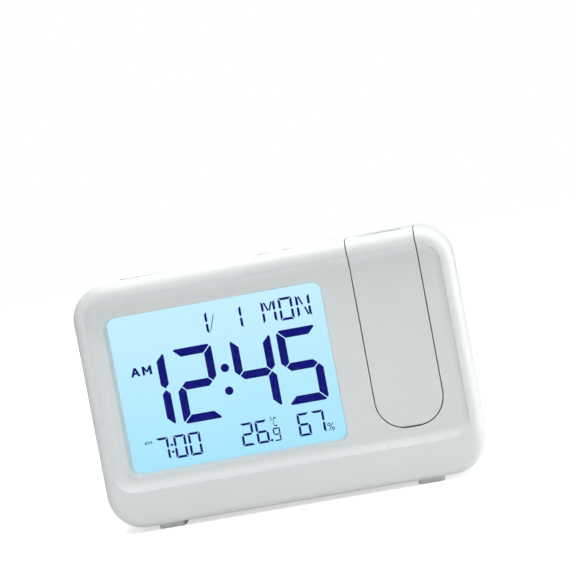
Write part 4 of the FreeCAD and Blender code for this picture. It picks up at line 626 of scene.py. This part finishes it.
class CLOCK_OT_studio(bpy.types.Operator):
    """Sets up the pale floor, the soft light and the camera"""
    bl_idname = "clock.studio"
    bl_label = "Studio"

    def execute(self, context):
        studio = context.scene.clock_studio
        bpy.ops.object.select_all(action="DESELECT")
        bpy.ops.mesh.primitive_plane_add(size=FLOOR_SIDE, location=(0, 0, 0))
        floor = context.object
        floor.name = "studio_floor"
        material, tree, shader = new_material("pale_floor")
        shader.inputs["Base Color"].default_value = (FLOOR_WHITE, FLOOR_WHITE, FLOOR_WHITE, 1)
        shader.inputs["Roughness"].default_value = FLOOR_ROUGH
        rays = add(tree, "ShaderNodeLightPath")
        place = add(tree, "ShaderNodeTexCoord")
        reach = add(tree, "ShaderNodeVectorMath", operation="LENGTH")
        tree.links.new(place.outputs["Object"], reach.inputs[0])
        glow = ranged(tree, reach.outputs["Value"], FLOOR_GLOW, FLOOR_REACH)
        white = add(tree, "ShaderNodeEmission")
        tree.links.new(glow, white.inputs["Strength"])
        both = add(tree, "ShaderNodeAddShader")
        shown = add(tree, "ShaderNodeMixShader")
        tree.links.new(shader.outputs["BSDF"], both.inputs[0])
        tree.links.new(white.outputs["Emission"], both.inputs[1])
        tree.links.new(rays.outputs["Is Camera Ray"], shown.inputs["Fac"])
        tree.links.new(shader.outputs["BSDF"], shown.inputs[1])
        tree.links.new(both.outputs["Shader"], shown.inputs[2])
        tree.links.new(shown.outputs["Shader"], tree.nodes["Material Output"].inputs["Surface"])
        floor.data.materials.append(material)

        world = bpy.data.worlds.new("studio_air")
        world.use_nodes = True
        context.scene.world = world
        tree = world.node_tree
        air = tree.nodes["Background"]
        air.inputs["Color"].default_value = AIR_TINT
        air.inputs["Strength"].default_value = AIR_STRENGTH
        shown_air = add(tree, "ShaderNodeBackground", Strength=1.0)
        shown_air.inputs["Color"].default_value = (1, 1, 1, 1)
        rays = add(tree, "ShaderNodeLightPath")
        mix = add(tree, "ShaderNodeMixShader")
        tree.links.new(rays.outputs["Is Camera Ray"], mix.inputs["Fac"])
        tree.links.new(air.outputs["Background"], mix.inputs[1])
        tree.links.new(shown_air.outputs["Background"], mix.inputs[2])
        tree.links.new(mix.outputs["Shader"], tree.nodes["World Output"].inputs["Surface"])

        for name, place, size, watts in LAMPS:
            lamp(name, place, size, watts)

        data = bpy.data.cameras.new("photo_camera")
        data.lens = studio.lens
        camera = bpy.data.objects.new("photo_camera", data)
        context.collection.objects.link(camera)
        eye = Vector((studio.eye_side, -studio.eye_back, studio.eye_height))
        turn = (Vector(CAMERA_AIM) - eye).to_track_quat("-Z", "Y").to_matrix()
        turn = turn @ Matrix.Rotation(-studio.roll, 3, "Z")
        camera.matrix_world = Matrix.Translation(eye) @ turn.to_4x4()
        context.scene.camera = camera
        context.scene.view_settings.view_transform = "Standard"
        return {"FINISHED"}


class CLOCK_PT_panel(bpy.types.Panel):
    """Lists the steps that dress the clock"""
    bl_idname = "CLOCK_PT_panel"
    bl_label = "Projection alarm clock"
    bl_space_type = "VIEW_3D"
    bl_region_type = "UI"
    bl_category = "Clock"

    def draw(self, context):
        layout = self.layout
        scene = context.scene
        for settings in (scene.clock_finish, scene.clock_display, scene.clock_studio):
            box = layout.box()
            for name in settings.bl_rna.properties.keys():
                if name not in ("rna_type", "name"):
                    box.prop(settings, name)
        for step in STEPS:
            layout.operator(step.bl_idname)


GROUPS = {"clock_finish": ClockFinish, "clock_display": ClockDisplay, "clock_studio": ClockStudio}
STEPS = (CLOCK_OT_housing, CLOCK_OT_works, CLOCK_OT_display, CLOCK_OT_studio)


def register():
    for group in GROUPS.values():
        bpy.utils.register_class(group)
    for name, group in GROUPS.items():
        setattr(bpy.types.Scene, name, PointerProperty(type=group))
    for step in STEPS:
        bpy.utils.register_class(step)
    bpy.utils.register_class(CLOCK_PT_panel)


def unregister():
    bpy.utils.unregister_class(CLOCK_PT_panel)
    for step in reversed(STEPS):
        bpy.utils.unregister_class(step)
    for name in GROUPS:
        delattr(bpy.types.Scene, name)
    for group in reversed(list(GROUPS.values())):
        bpy.utils.unregister_class(group)


def main():
    register()
    bpy.ops.clock.housing()
    bpy.ops.clock.works()
    bpy.ops.clock.display()
    bpy.ops.clock.studio()


if __name__ == "__main__":
    main()
